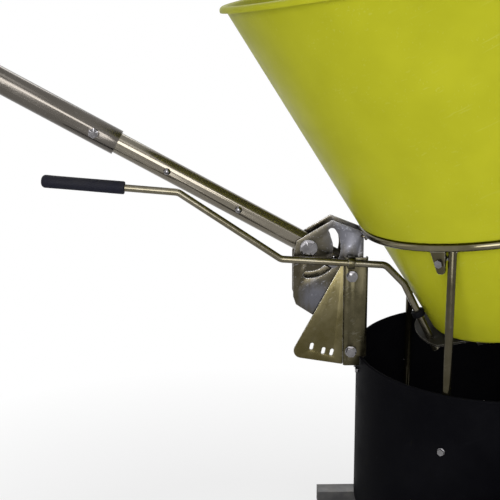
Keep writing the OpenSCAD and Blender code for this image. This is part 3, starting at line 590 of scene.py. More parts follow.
class Finishes:
    """The object's finishes, each made when it is first asked for."""

    HOPPER = Finish(
        "hopper_plastic", "hopper_yellow", (0.39, 0.392, 0.017), (0.335, 0.34, 0.013), 0.0, 0.36,
        cloud_scale=5.0, grain_scale=700.0, grain=0.05, scratch=0.12, wear=0.12, dust=0.04,
        scratch_colour=(0.55, 0.55, 0.2), wear_colour=(0.58, 0.58, 0.2), specular=0.035, wave=0.35,
    )
    DRUM = Finish(
        "drum_plastic", "drum_black", (0.0024, 0.0024, 0.0032), (0.004, 0.004, 0.005), 0.0, 0.5,
        rough_span=0.16, cloud_scale=9.0, grain_scale=600.0, grain=0.12, run=Run.UPRIGHT,
        scratch=0.05, scratch_colour=(0.03, 0.03, 0.035), wear=0.2,
        wear_colour=(0.03, 0.03, 0.034), specular=0.006, wave=0.4,
    )
    PLATE = Finish(
        "plated_bar", "bright_chrome", (0.1, 0.088, 0.052), (0.15, 0.135, 0.09), 1.0, 0.17,
        cloud_scale=22.0, grain_scale=1200.0, scratch=0.25, scratch_colour=(0.3, 0.28, 0.24),
        wear=0.35, wear_colour=(0.5, 0.48, 0.43),
    )
    # Painted shade: a darker copy of the plated bar for the legs, which stand in the hopper's
    # shadow.
    SHADED_LEG_PLATE = replace(
        PLATE, name="plated_leg_painted_shade", base=(0.036, 0.031, 0.016), second=(0.055, 0.048, 0.03),
        metal=0.9, rough=0.18, cloud_scale=20.0, grain_scale=1500.0, grain=0.14, run=Run.UPRIGHT,
        scratch_colour=(0.25, 0.24, 0.2), wear=0.4,
    )
    HANDLE_PLATE = Finish(
        "plated_tube", "bright_chrome", (0.15, 0.134, 0.104), (0.175, 0.158, 0.128), 0.88, 0.19,
        rough_span=0.08, cloud_scale=8.0, grain_scale=1500.0, grain=0.05, run=Run.ALONG_HANDLE,
        scratch=0.12, scratch_colour=(0.4, 0.38, 0.34), wear=0.4, wear_colour=(0.6, 0.58, 0.52),
    )
    SLEEVE_PLATE = replace(
        HANDLE_PLATE, name="plated_sleeve", base=(0.092, 0.083, 0.071),
        second=(0.11, 0.1, 0.088), metal=0.94, rough=0.2,
    )
    ROD_PLATE = Finish(
        "plated_rod", "rod_chrome", (0.095, 0.083, 0.05), (0.138, 0.125, 0.092), 0.92, 0.2,
        rough_span=0.1, cloud_scale=25.0, grain_scale=1400.0, grain=0.05, run=Run.LENGTHWISE,
        scratch=0.25, scratch_colour=(0.4, 0.38, 0.32), wear=0.3, wear_colour=(0.6, 0.58, 0.5),
    )
    OLIVE_SHEET = Finish(
        "zinc_sheet_olive", "zinc_sheet", (0.072, 0.06, 0.024), (0.1, 0.086, 0.044), 1.0, 0.3,
        rough_span=0.18, cloud_scale=26.0, grain=0.16, run=Run.UPRIGHT, scratch=0.3, wear=0.8,
        scratch_colour=(0.28, 0.26, 0.2), wear_colour=(0.62, 0.6, 0.55), wear_width=0.0009,
    )
    # Painted shade: a darker copy of the olive zinc for the tabs, the post and the rod guide, which
    # lie in shade.
    SHADED_SHEET = replace(
        OLIVE_SHEET, name="zinc_sheet_painted_shade", base=(0.052, 0.046, 0.025),
        second=(0.075, 0.066, 0.039), rough=0.28, scratch_colour=(0.22, 0.21, 0.17),
        wear_colour=(0.6, 0.58, 0.52),
    )
    # Painted shade: the gate's sheet is made near black because its far half lies in shade inside
    # the drum.
    SHADED_GATE_SHEET = replace(
        OLIVE_SHEET, name="gate_sheet_painted_shade", base=(0.012, 0.011, 0.009),
        second=(0.02, 0.018, 0.014), metal=0.0, rough=0.55, run=Run.FREE, scratch=0.2,
        scratch_colour=(0.12, 0.11, 0.09), wear_colour=(0.4, 0.38, 0.34), specular=0.03,
    )
    # The bracket's two bluish-grey patches are rubbed wear and painted reflection.
    SHEET = replace(
        OLIVE_SHEET, name="zinc_sheet", base=(0.05, 0.043, 0.027), second=(0.082, 0.074, 0.056),
        cloud_scale=16.0, scratch=0.6, scratch_colour=(0.3, 0.3, 0.33),
        wear_colour=(0.62, 0.6, 0.6), wear_and_sheen_colour=(0.105, 0.105, 0.118),
        wear_and_sheen_patches=((0.164, -0.019, 0.64, 0.042), (0.112, -0.019, 0.545, 0.026)),
    )
    BOLT = Finish(
        "zinc_bolt", "zinc_bolt", (0.13, 0.125, 0.128), (0.19, 0.185, 0.19), 1.0, 0.1,
        rough_span=0.16, cloud_scale=120.0, grain_scale=1600.0, grain=0.2, scratch=0.2,
        scratch_colour=(0.5, 0.5, 0.52), wear=0.6, wear_colour=(0.5, 0.49, 0.5),
        wear_width=0.0007,
    )
    RUBBER = Finish(
        "grip_rubber", "grip_rubber", (0.0085, 0.009, 0.0145), (0.012, 0.0125, 0.019), 0.0, 0.6,
        rough_span=0.2, cloud_scale=60.0, grain_scale=1300.0, grain=0.4, wear=0.15,
        wear_colour=(0.03, 0.032, 0.04), dust=0.03, specular=0.06,
    )
    COLLAR = Finish(
        "collar_rubber", "grip_rubber", (0.003, 0.003, 0.0035), (0.005, 0.005, 0.006), 0.0, 0.6,
        cloud_scale=60.0, grain_scale=1300.0, grain=0.3, specular=0.03,
    )
    TYRE = Finish(
        "tyre_rubber", "tyre_rubber", (0.012, 0.012, 0.013), (0.02, 0.02, 0.02), 0.0, 0.7,
        rough_span=0.2, cloud_scale=30.0, grain_scale=800.0, grain=0.45, wear=0.35,
        wear_colour=(0.05, 0.048, 0.044), dust=0.35, specular=0.3,
    )
    FRAME_PAINT = Finish(
        "frame_paint", "frame_paint", (0.014, 0.014, 0.016), (0.02, 0.02, 0.022), 0.0, 0.35,
        rough_span=0.15, cloud_scale=16.0, grain_scale=700.0, grain=0.3, scratch=0.1,
        scratch_colour=(0.08, 0.08, 0.08), wear=0.55, wear_colour=(0.16, 0.15, 0.14), dust=0.2,
        specular=0.4,
    )
    BRONZE = Finish(
        "bush_bronze", "bush_bronze", (0.52, 0.34, 0.13), (0.4, 0.25, 0.1), 1.0, 0.3,
        cloud_scale=80.0, grain_scale=1500.0, grain=0.2, wear=0.3, wear_colour=(0.7, 0.5, 0.25),
    )
    BEARING = Finish(
        "bearing_plastic", "bush_plastic", (0.02, 0.02, 0.02), (0.03, 0.03, 0.03), 0.0, 0.45,
        cloud_scale=60.0, grain=0.2,
    )
    SHAFT = Finish(
        "shaft_steel", "shaft_steel", (0.4, 0.4, 0.41), (0.3, 0.29, 0.28), 1.0, 0.26,
        cloud_scale=30.0, grain_scale=1500.0, grain=0.2, run=Run.CROSSWISE, scratch=0.2,
        wear=0.3, wear_colour=(0.7, 0.7, 0.7),
    )
    CASTING = Finish(
        "case_iron", "case_iron", (0.05, 0.055, 0.06), (0.075, 0.08, 0.085), 0.0, 0.5,
        rough_span=0.15, cloud_scale=35.0, grain_scale=350.0, grain=0.6, wear=0.5,
        wear_colour=(0.2, 0.2, 0.2), dust=0.25,
    )
    GEAR = Finish(
        "gear_steel", "gear_steel", (0.2, 0.2, 0.21), (0.13, 0.12, 0.11), 1.0, 0.3,
        cloud_scale=60.0, grain_scale=1200.0, grain=0.2, wear=0.7, wear_colour=(0.55, 0.55, 0.56),
    )
    DISC = Finish(
        "disc_plastic", "spinner_plastic", (0.5, 0.5, 0.48), (0.42, 0.42, 0.4), 0.0, 0.4,
        cloud_scale=18.0, grain_scale=800.0, grain=0.15, wear=0.2, dust=0.25,
    )
    WHEEL = Finish(
        "wheel_paint", "wheel_steel", (0.5, 0.5, 0.48), (0.44, 0.44, 0.42), 0.0, 0.3,
        grain_scale=600.0, grain=0.2, scratch=0.12, scratch_colour=(0.3, 0.29, 0.28), wear=0.4,
        wear_colour=(0.22, 0.2, 0.18), dust=0.3, specular=0.45,
    )

    def __init__(self) -> None:
        """Makes the shader groups that all finishes share."""
        self.made: dict[str, bpy.types.Material] = {}
        self.groups = ShaderGroups()

    def of(self, finish: Finish) -> bpy.types.Material:
        """The material of a finish.

        Args:
            finish: The finish.

        Returns:
            Its material, the same each time.
        """
        if finish.name not in self.made:
            self.made[finish.name] = self._build(finish)
        return self.made[finish.name]

    def _build(self, finish: Finish) -> bpy.types.Material:
        """Builds the material of a finish.

        Args:
            finish: The finish.

        Returns:
            A material whose colour, roughness and bump vary over the surface.
        """
        material = bpy.data.materials.new(finish.name)
        web, groups = Web.of(material), self.groups
        coords = web.node("ShaderNodeTexCoord").outputs["Object"]
        stretch, tilt = finish.run.value
        turned = web.node("ShaderNodeMapping", Vector=coords, Rotation=(0.0, tilt, 0.0))
        place = turned.outputs[0]

        clouds = web.group(groups.clouds, Vector=place, Scale=finish.cloud_scale)
        colour = web.mix(clouds, finish.base, finish.second)
        rough = web.span(clouds, finish.rough, finish.rough_span)
        grain = web.group(groups.grain, Vector=place, Scale=finish.grain_scale, Stretch=stretch)
        height = web.times(grain, finish.grain)
        # Patches of rubbed wear and painted reflection
        for *centre, reach in finish.wear_and_sheen_patches:
            wear_and_sheen = web.group(groups.wear_and_sheen_patch, Vector=coords, Centre=tuple(centre), Reach=reach)
            colour = web.mix(wear_and_sheen, colour, finish.wear_and_sheen_colour)
        if finish.scratch:
            lines = web.group(groups.scratches, Vector=place, Amount=finish.scratch)
            colour = web.mix(lines, colour, finish.scratch_colour)
            height = web.maths("SUBTRACT", height, web.times(lines, SCRATCH_DEPTH))
        if finish.wear:
            edges = web.group(
                groups.wear, Vector=place, Width=finish.wear_width, Amount=finish.wear
            )
            colour = web.mix(edges, colour, finish.wear_colour)
        if finish.dust:
            dust = web.group(groups.dust, Vector=place, Amount=finish.dust)
            colour = web.mix(dust, colour, finish.dust_colour)
            rough = web.plus(rough, web.times(dust, DUST_ROUGHNESS))
        if finish.wave:
            swell = web.group(groups.clouds, Vector=place, Scale=SWELL_SCALE)
            height = web.plus(height, web.times(swell, finish.wave * SWELL_HEIGHT))
        bump = web.node(
            "ShaderNodeBump", Strength=BUMP_STRENGTH, Distance=BUMP_DISTANCE, Height=height
        )
        shader = web.node(
            "ShaderNodeBsdfPrincipled", Base_Color=colour, Roughness=rough,
            Normal=bump.outputs["Normal"], Metallic=finish.metal,
            Specular_IOR_Level=finish.specular,
        )
        web.node("ShaderNodeOutputMaterial", Surface=shader.outputs[0])
        material.diffuse_color = (*finish.base, 1.0)
        return material


class Web:
    """Short words for wiring shader nodes."""

    def __init__(self, tree: Tree) -> None:
        """Starts on a node tree."""
        self.tree = tree

    @staticmethod
    def of(owner: bpy.types.ID) -> "Web":
        """The emptied web of a material or a world.

        Args:
            owner: The material or world.

        Returns:
            Its web.
        """
        owner.use_nodes = True
        owner.node_tree.nodes.clear()
        return Web(owner.node_tree)

    def node(self, kind: str, **feeds: object) -> bpy.types.Node:
        """Adds a node and feeds its inputs.

        Args:
            kind: The kind of node.
            feeds: What feeds each input, by name, with _ for a space.

        Returns:
            The node.
        """
        node = self.tree.nodes.new(kind)
        for name, source in feeds.items():
            self.join(source, node.inputs[name.replace("_", " ")])
        return node

    def join(self, source: object, target: Socket) -> None:
        """Feeds a socket from another socket or a plain value.

        Args:
            source: A socket, a number, or a colour or vector as a tuple.
            target: The socket that it feeds.
        """
        if isinstance(source, Socket):
            self.tree.links.new(source, target)
        elif isinstance(source, tuple) and len(target.default_value) == 4:
            target.default_value = (*source, 1.0)
        else:
            target.default_value = source

    def group(self, made: Tree, **feeds: object) -> Socket:
        """Places a shared group and feeds its inputs.

        Args:
            made: The group.
            feeds: What feeds each input, by name.

        Returns:
            The socket of the group's one value.
        """
        node = self.node("ShaderNodeGroup")
        node.node_tree = made
        for name, source in feeds.items():
            self.join(source, node.inputs[name])
        return node.outputs[0]

    def maths(self, how: str, first: object, second: object) -> Socket:
        """What Blender's Math node makes of two values.

        Args:
            how: The Math node's operation.
            first: The first value.
            second: The second value.

        Returns:
            The result.
        """
        node = self.node("ShaderNodeMath")
        node.operation = how
        self.join(first, node.inputs[0])
        self.join(second, node.inputs[1])
        return node.outputs[0]

    def times(self, *factors: object) -> Socket:
        """The product of several values."""
        return reduce(lambda one, other: self.maths("MULTIPLY", one, other), factors)

    def plus(self, first: object, second: object) -> Socket:
        """The sum of two values."""
        return self.maths("ADD", first, second)

    def vectors(self, how: str, *terms: object) -> Socket:
        """What the Vector Math node makes of vectors.

        Args:
            how: The Vector Math node's operation.
            terms: The vectors.

        Returns:
            The result, which is a vector only for MULTIPLY.
        """
        node = self.node("ShaderNodeVectorMath")
        node.operation = how
        for term, target in zip(terms, node.inputs):
            self.join(term, target)
        return node.outputs["Vector" if how == "MULTIPLY" else "Value"]

    def mix(self, mask: object, first: object, second: object) -> Socket:
        """Mixes two colours by a mask.

        Args:
            mask: 0 for the first colour and 1 for the second.
            first: The first colour.
            second: The second colour.

        Returns:
            The mixed colour.
        """
        node = self.node("ShaderNodeMix")
        node.data_type = "RGBA"
        for source, place in ((mask, 0), (first, 6), (second, 7)):
            self.join(source, node.inputs[place])
        return node.outputs[2]

    def span(self, mask: object, middle: float, width: float) -> Socket:
        """A value that varies about its middle with a mask."""
        return self.plus(self.times(mask, width), middle - width / 2)

    def remap(self, value: object, low: float, high: float) -> Socket:
        """Stretches low to 0 and high to 1, and clamps.

        Args:
            value: The value.
            low: What becomes 0.
            high: What becomes 1.

        Returns:
            The stretched value.
        """
        node = self.node("ShaderNodeMapRange", Value=value, From_Min=low, From_Max=high)
        node.clamp = True
        return node.outputs["Result"]

    def noise(self, vector: object, scale: object, detail: float) -> Socket:
        """A noise pattern's value."""
        node = self.node("ShaderNodeTexNoise", Vector=vector, Scale=scale, Detail=detail)
        return node.outputs["Fac"]

    def looked_at(self) -> Socket:
        """Tells what sees a surface.

        Returns:
            1 for camera, glossy and transmission rays, and 0 for the rest.
        """
        rays = self.node("ShaderNodeLightPath").outputs
        seen = self.maths("MAXIMUM", rays["Is Camera Ray"], rays["Is Glossy Ray"])
        return self.maths("MAXIMUM", seen, rays["Is Transmission Ray"])


class ShaderGroups:
    """Effects that more than one finish uses, each built once."""

    def __init__(self) -> None:
        """Builds every group."""
        self.clouds = self._clouds()
        self.grain = self._grain()
        self.scratches = self._scratches()
        self.wear = self._wear()
        self.wear_and_sheen_patch = self._wear_and_sheen_patch()
        self.dust = self._dust()

    @staticmethod
    def _start(name: str, **inputs: object) -> tuple[Web, dict[str, Socket], Socket]:
        """Starts a group that works on a vector.

        Args:
            name: Its name.
            inputs: First value of each further input, a number or a vector.

        Returns:
            Its web, the sockets of its inputs by name, and the socket of its one value.
        """
        tree = bpy.data.node_groups.new(name, "ShaderNodeTree")
        for label, value in {"Vector": None, **inputs}.items():
            kind = "NodeSocketFloat" if isinstance(value, float) else "NodeSocketVector"
            socket = tree.interface.new_socket(label, in_out="INPUT", socket_type=kind)
            if value is not None:
                socket.default_value = value
        tree.interface.new_socket("Value", in_out="OUTPUT", socket_type="NodeSocketFloat")
        web = Web(tree)
        given = web.node("NodeGroupInput").outputs
        return web, given, web.node("NodeGroupOutput").inputs["Value"]

    def _clouds(self) -> Tree:
        """Soft patches at two sizes.

        Returns:
            The group.
        """
        web, given, out = self._start("soft_clouds", Scale=10.0)
        large = web.noise(given["Vector"], given["Scale"], 3.0)
        small = web.noise(given["Vector"], web.times(given["Scale"], 4.7), 2.0)
        both = web.plus(web.times(large, 0.7), web.times(small, 0.3))
        web.join(web.remap(both, 0.36, 0.64), out)
        return web.tree

    def _grain(self) -> Tree:
        """Fine grain or brushed lines.

        Returns:
            The group.
        """
        web, given, out = self._start("fine_grain", Scale=900.0, Stretch=(1.0, 1.0, 1.0))
        drawn = web.vectors("MULTIPLY", given["Vector"], given["Stretch"])
        web.join(web.noise(drawn, given["Scale"], 3.0), out)
        return web.tree

    def _scratches(self) -> Tree:
        """Thin short scratches that cross each other.

        Returns:
            The group.
        """
        web, given, out = self._start("thin_scratches", Amount=0.3)
        masks = []
        for tilt, scale in ((0.5, 90.0), (-0.9, 130.0)):
            turned = web.node(
                "ShaderNodeMapping", Vector=given["Vector"], Rotation=(0.3 * tilt, tilt, 0.7 * tilt)
            )
            drawn = web.vectors("MULTIPLY", turned.outputs[0], (0.12, 3.0, 3.0))
            masks.append(web.remap(web.noise(drawn, scale, 1.0), 0.66, 0.74))
        both = web.maths("MAXIMUM", *masks)
        wear_and_sheen_patches = web.remap(web.noise(given["Vector"], 25.0, 1.0), 0.4, 0.65)
        web.join(web.times(both, wear_and_sheen_patches, given["Amount"]), out)
        return web.tree

    def _wear(self) -> Tree:
        """Edges that show rubbed metal.

        Returns:
            The group.
        """
        web, given, out = self._start("edge_wear", Width=0.001, Amount=0.5)
        soft = web.node("ShaderNodeBevel", Radius=given["Width"])
        soft.samples = 4
        hard = web.node("ShaderNodeNewGeometry").outputs["Normal"]
        alike = web.vectors("DOT_PRODUCT", soft.outputs["Normal"], hard)
        edge = web.remap(web.maths("SUBTRACT", 1.0, alike), 0.005, 0.12)
        rough = web.remap(web.noise(given["Vector"], 220.0, 3.0), 0.3, 0.6)
        web.join(web.times(edge, rough, given["Amount"]), out)
        return web.tree

    def _wear_and_sheen_patch(self) -> Tree:
        """A patch of rubbed wear and painted reflection, with a ragged rim.

        Returns:
            The group.
        """
        web, given, out = self._start("wear_and_painted_sheen_patch", Centre=(0.0, 0.0, 0.0), Reach=0.03)
        away = web.vectors("DISTANCE", given["Vector"], given["Centre"])
        drawn = web.vectors("MULTIPLY", given["Vector"], (1.0, 1.0, 0.2))
        share = web.maths("DIVIDE", away, given["Reach"])
        ragged = web.plus(share, web.noise(drawn, 160.0, 3.0))
        web.join(web.maths("SUBTRACT", 1.0, web.remap(ragged, 0.9, 1.6)), out)
        return web.tree

    def _dust(self) -> Tree:
        """Dust on what faces up.

        Returns:
            The group.
        """
        web, given, out = self._start("settled_dust", Amount=0.2)
        normal = web.node("ShaderNodeNewGeometry").outputs["Normal"]
        parts = web.node("ShaderNodeSeparateXYZ", Vector=normal)
        upward = web.remap(parts.outputs["Z"], -0.5, 1.0)
        wear_and_sheen_patches = web.remap(web.noise(given["Vector"], 45.0, 4.0), 0.35, 0.7)
        web.join(web.times(upward, wear_and_sheen_patches, given["Amount"]), out)
        return web.tree


# Building


class Shop:
    """Holds the frame and the finishes, and hands finished pieces over to the frame."""

    MERGE = 0.00001
    FLAT = math.radians(0.6)
    BEND_STEPS = 5

    def __init__(self, frame: dict) -> None:
        """Notes the CAD nodes and the body that each rides on.
        """
        self.nodes: dict[str, Thing] = frame["nodes"]
        bodies = frame["record"]["behaviour"]["bodies"]
        self.body_of = {node: body for body, nodes in bodies.items() for node in nodes}
        self.finishes = Finishes()
        self.done: set[str] = set()

    def hand_over(self, piece: Thing, finish: Finish, node: str, angle: float = 32.0) -> None:
        """Names, shades and paints a finished piece, and lets it ride on its node's body.

        Args:
            piece: The piece, in place.
            finish: Its finish.
            node: The CAD node that it stands for.
            angle: Faces that meet at less than this are shaded smooth, in degrees.
        """
        piece.name = node + "_finished"
        Bench.alone(piece)
        bpy.ops.object.shade_smooth_by_angle(angle=math.radians(angle))
        piece.data.materials.clear()
        piece.data.materials.append(self.finishes.of(finish))
        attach(piece, self.body_of[node])
        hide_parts(node)
        self.done.add(node)
        LOG.info("%s: %d faces, finish %s", piece.name, len(piece.data.polygons), finish.name)

    def fasten(self, node: str, model: Thing, *places: Matrix, angle: float = 32.0) -> None:
        """Copies a fastener to its places and hands the copies over as one piece.

        Args:
            node: The CAD node that the copies stand for.
            model: The fastener, which is thrown away.
            places: Where its copies go.
            angle: Faces that meet at less than this are shaded smooth, in degrees.
        """
        self.hand_over(Bench.repeat(model, places), Finishes.BOLT, node, angle)

    def refine(
        self, finish: Finish, edge: float, *nodes: str,
        bends: Optional[Test] = None, bend_radius: float = 2.6,
    ) -> None:
        """Copies CAD nodes, merges their meshes, breaks their edges and hands them over.

        Args:
            finish: Their finish.
            edge: Width of the broken edges, in millimetres.
            nodes: The CAD nodes.
            bends: Picks edges that are bends in a sheet, by their two ends.
            bend_radius: Radius of those bends, in millimetres.
        """
        for node in nodes:
            piece = Bench.copy(self.nodes[node])
            bpy.ops.object.parent_clear(type="CLEAR_KEEP_TRANSFORM")
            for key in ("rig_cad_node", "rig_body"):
                if key in piece:
                    del piece[key]
            Bench.open(piece)
            if piece.data.has_custom_normals:
                bpy.ops.mesh.customdata_custom_splitnormals_clear()
            bpy.ops.mesh.select_all(action="SELECT")
            bpy.ops.mesh.remove_doubles(threshold=self.MERGE)
            bpy.ops.mesh.dissolve_limited(angle_limit=self.FLAT)
            if bends and Bench.pick("EDGE", bends):
                bpy.ops.mesh.bevel(
                    offset=bend_radius * MILLIMETRE, segments=self.BEND_STEPS, affect="EDGES"
                )
            bpy.ops.object.mode_set(mode="OBJECT")
            Bench.soften(piece, edge * MILLIMETRE)
            self.hand_over(piece, finish, node)


class Fasteners:
    """Hexagon bolts, nuts, screws and rivets, each along +Z with its seat at 0."""

    PITCHES = {5.0: 0.8, 6.0: 1.0, 8.0: 1.25, 10.0: 1.5, 12.0: 1.75}
    WASHER_T = 1.6
    HEAD_R = 0.92
    HEAD_H = 0.65

    @staticmethod
    def _hexagon(radius: float, low: float, high: float, bore: float = 0.0) -> Thing:
        """A hexagon with its corners chamfered.

        Args:
            radius: Radius at its corners.
            low: Lower face, which is chamfered.
            high: Upper face, which is chamfered where the hexagon has a bore.
            bore: Radius of the hole through it, or 0.

        Returns:
            The hexagon.
        """
        out, flat = radius * 1.05, radius * 0.95
        drop = (out - flat) * 0.5
        upper = [(out, high - drop), (flat, high)] if bore else [(out, high)]
        rings = [(bore, low), (flat, low), (out, low + drop), *upper, (bore, high), (bore, low)]
        return Bench.carve(Bench.prism(6, radius, low, high), Bench.lathe(rings, 48), "INTERSECT")

    @staticmethod
    def _thread(size: float, start: float, end: float, full: float) -> list[Point]:
        """Profile of a shank whose last stretch is threaded.

        Args:
            size: Diameter.
            start: Where the shank starts.
            end: Where it ends.
            full: Length of the threaded stretch.

        Returns:
            An open profile that starts and ends on the axis.
        """
        pitch = Fasteners.PITCHES[size]
        outer, root = size / 2, size / 2 - pitch * 0.5
        begin = max(start, end - full)
        profile: list[Point] = [(0.0, start), (outer, start), (outer, begin)]
        for i in range(max(1, int((end - begin - pitch) / pitch))):
            at = begin + i * pitch
            profile += [(root, at + pitch * 0.5), (outer, at + pitch)]
        return [*profile, (root * 0.86, end), (0.0, end)]

    @staticmethod
    def bolt(size: float, length: float, threaded: float, washer: bool = False) -> Thing:
        """A hexagon bolt, its head below 0 and its shank above.

        Args:
            size: Diameter of the shank.
            length: Length of the shank.
            threaded: Length of its thread.
            washer: Whether a washer lies under the head.

        Returns:
            The bolt.
        """
        thick = Fasteners.WASHER_T if washer else 0.0
        head = Fasteners._hexagon(
            size * Fasteners.HEAD_R, -size * Fasteners.HEAD_H - thick, -thick
        )
        parts = [head, Bench.lathe(Fasteners._thread(size, -thick, length, threaded), 28)]
        if washer:
            edge, bore = size * 1.05, size / 2
            ring = [(bore, -0.2), (bore, -thick), (edge - 0.4, -thick), (edge, -thick + 0.4)]
            ring += [(edge, -0.3), (edge - 0.3, 0.0), (bore, 0.0), (bore, -0.2)]
            parts.append(Bench.lathe(ring, 40))
        return Bench.join(parts)

    @staticmethod
    def nut(size: float, height: float, radius: float) -> Thing:
        """A hexagon nut that stands on 0, for a bolt of a size."""
        return Fasteners._hexagon(radius, 0.0, height, size / 2 + 0.05)

    @staticmethod
    def rivet(size: float, grip: float) -> Thing:
        """A round-headed rivet, its shank from 0 to grip and its head above."""
        profile = [(0.0, 0.0), (size / 2, 0.0), (size / 2, grip), (size * 0.94, grip)]
        return Bench.lathe(profile + arc((0.0, grip), size, 8.0, 90.0, 10), 32)

    @staticmethod
    def pan_screw() -> Thing:
        """A small slotted screw, its head below 0.

        Returns:
            The screw.
        """
        profile = [(0.0, -2.0), (2.0, -2.0), (2.6, -1.6), (2.8, -0.9), (2.8, 0.0), (1.5, 0.0)]
        head = Bench.lathe([*profile, (1.5, 13.0), (1.0, 14.0), (0.0, 14.0)], 24)
        slot = Bench.prism(4, 1.0, -2.6, -1.1)
        slot.scale = (5.0, 0.5, 1.0)
        bpy.ops.object.transform_apply()
        return Bench.carve(head, slot)


@dataclass
class Assembly:
    """A sub-assembly that is built in one go."""

    shop: Shop

    def build(self) -> None:
        """Builds the sub-assembly's pieces and hands them over."""
        raise NotImplementedError


@dataclass
class HopperUnit(Assembly):
    """The cone hopper with its floor fittings and the gate."""

    upper_r: float = 192.0
    rise: float = 340.0
    drop: float = 166.0
    ledge: float = 15.0
    wall: float = 4.0
    floor: float = 6.0
    lip: float = 6.0
    port_r: float = 13.0
    port_x: float = 46.0
    port_pitch: float = 36.0
    screw_x: float = 45.0
    screw_y: float = 74.4
    screw_hole_r: float = 2.6
    shaft_hole_r: float = 11.1
    rail_lip: float = 2.6

    def cone(self, along: float, inset: float = 0.0) -> float:
        """Radius of the upper cone, less an inset, at a height along the hopper's axis."""
        return self.upper_r - inset + LAYOUT.cone_slope * along

    def profile(self) -> list[Point]:
        """The hopper's section, from its floor round the lip and back inside.

        Returns:
            Radius and height of each point.
        """
        low, ledge = -self.drop, LAYOUT.ring_bar / 2 + LAYOUT.seat
        lip_at, step, inner = self.rise - self.lip, self.ledge, self.floor - self.drop
        lip_mid = self.cone(lip_at) + self.lip - self.wall
        outside = rounded(
            [(0.0, low), (self.cone(low, step), low), (self.cone(ledge, step), ledge),
             (self.cone(ledge), ledge), (self.cone(lip_at), lip_at)],
            [0.0, 9.0, 2.5, 7.0, 0.0], 8,
        )
        inside = rounded(
            [(self.cone(lip_at) - self.wall, lip_at),
             (self.cone(ledge + self.wall) - self.wall, ledge + self.wall),
             (self.cone(ledge, step) - self.wall, ledge + self.wall - 0.5),
             (self.cone(inner, step) - self.wall, inner), (0.0, inner)],
            [0.0, 3.0, 5.0, 5.0, 0.0], 6,
        )
        return outside + arc((lip_mid, lip_at), self.lip, -20.0, 160.0, 14) + inside

    def shell(self) -> Thing:
        """The hopper with its ports, its shaft hole and its screw holes.

        Returns:
            The hopper, in place.
        """
        shell = Bench.place(Bench.lathe(self.profile(), 160), LAYOUT.leaned())
        holes = [(40, self.port_r, self.port_x, k * self.port_pitch) for k in (-1, 0, 1)]
        holes += [(20, self.screw_hole_r, *at) for at in corners_of(self.screw_x, self.screw_y)]
        cutters = []
        for sides, radius, x, y in holes:
            hole = Bench.prism(sides, radius, -self.drop - 20, -self.drop + 20)
            cutters.append(Bench.place(hole, LAYOUT.leaned() @ move(x, y, 0)))
        bottom = LAYOUT.ring_z - self.drop * math.cos(math.radians(LAYOUT.lean))
        hole = Bench.prism(40, self.shaft_hole_r, bottom - 30, bottom + 30)
        cutters.append(Bench.place(hole, LAYOUT.machine(LAYOUT.shaft_x)))
        return Bench.carve(shell, Bench.join(cutters))

    def build(self) -> None:
        """Builds the hopper and what is fixed to its floor."""
        self.shop.hand_over(self.shell(), Finishes.HOPPER, "hopper", 38.0)
        self.shop.refine(Finishes.BEARING, 0.5, "floor_bush")
        self.shop.refine(Finishes.SHEET, 0.4, "gate_rails")
        # The gate gets near-black painted shade.
        self.shop.refine(Finishes.SHADED_GATE_SHEET, 0.3, "gate")
        below = -self.drop - 3 * LAYOUT.slide - LAYOUT.sheet - self.rail_lip
        spots = corners_of(self.screw_x, self.screw_y)
        places = [LAYOUT.leaned() @ move(x, y, below) for x, y in spots]
        screw = Fasteners.bolt(5.0, length=20.0, threaded=18.0)
        self.shop.fasten("gate_rail_screws", screw, *places)


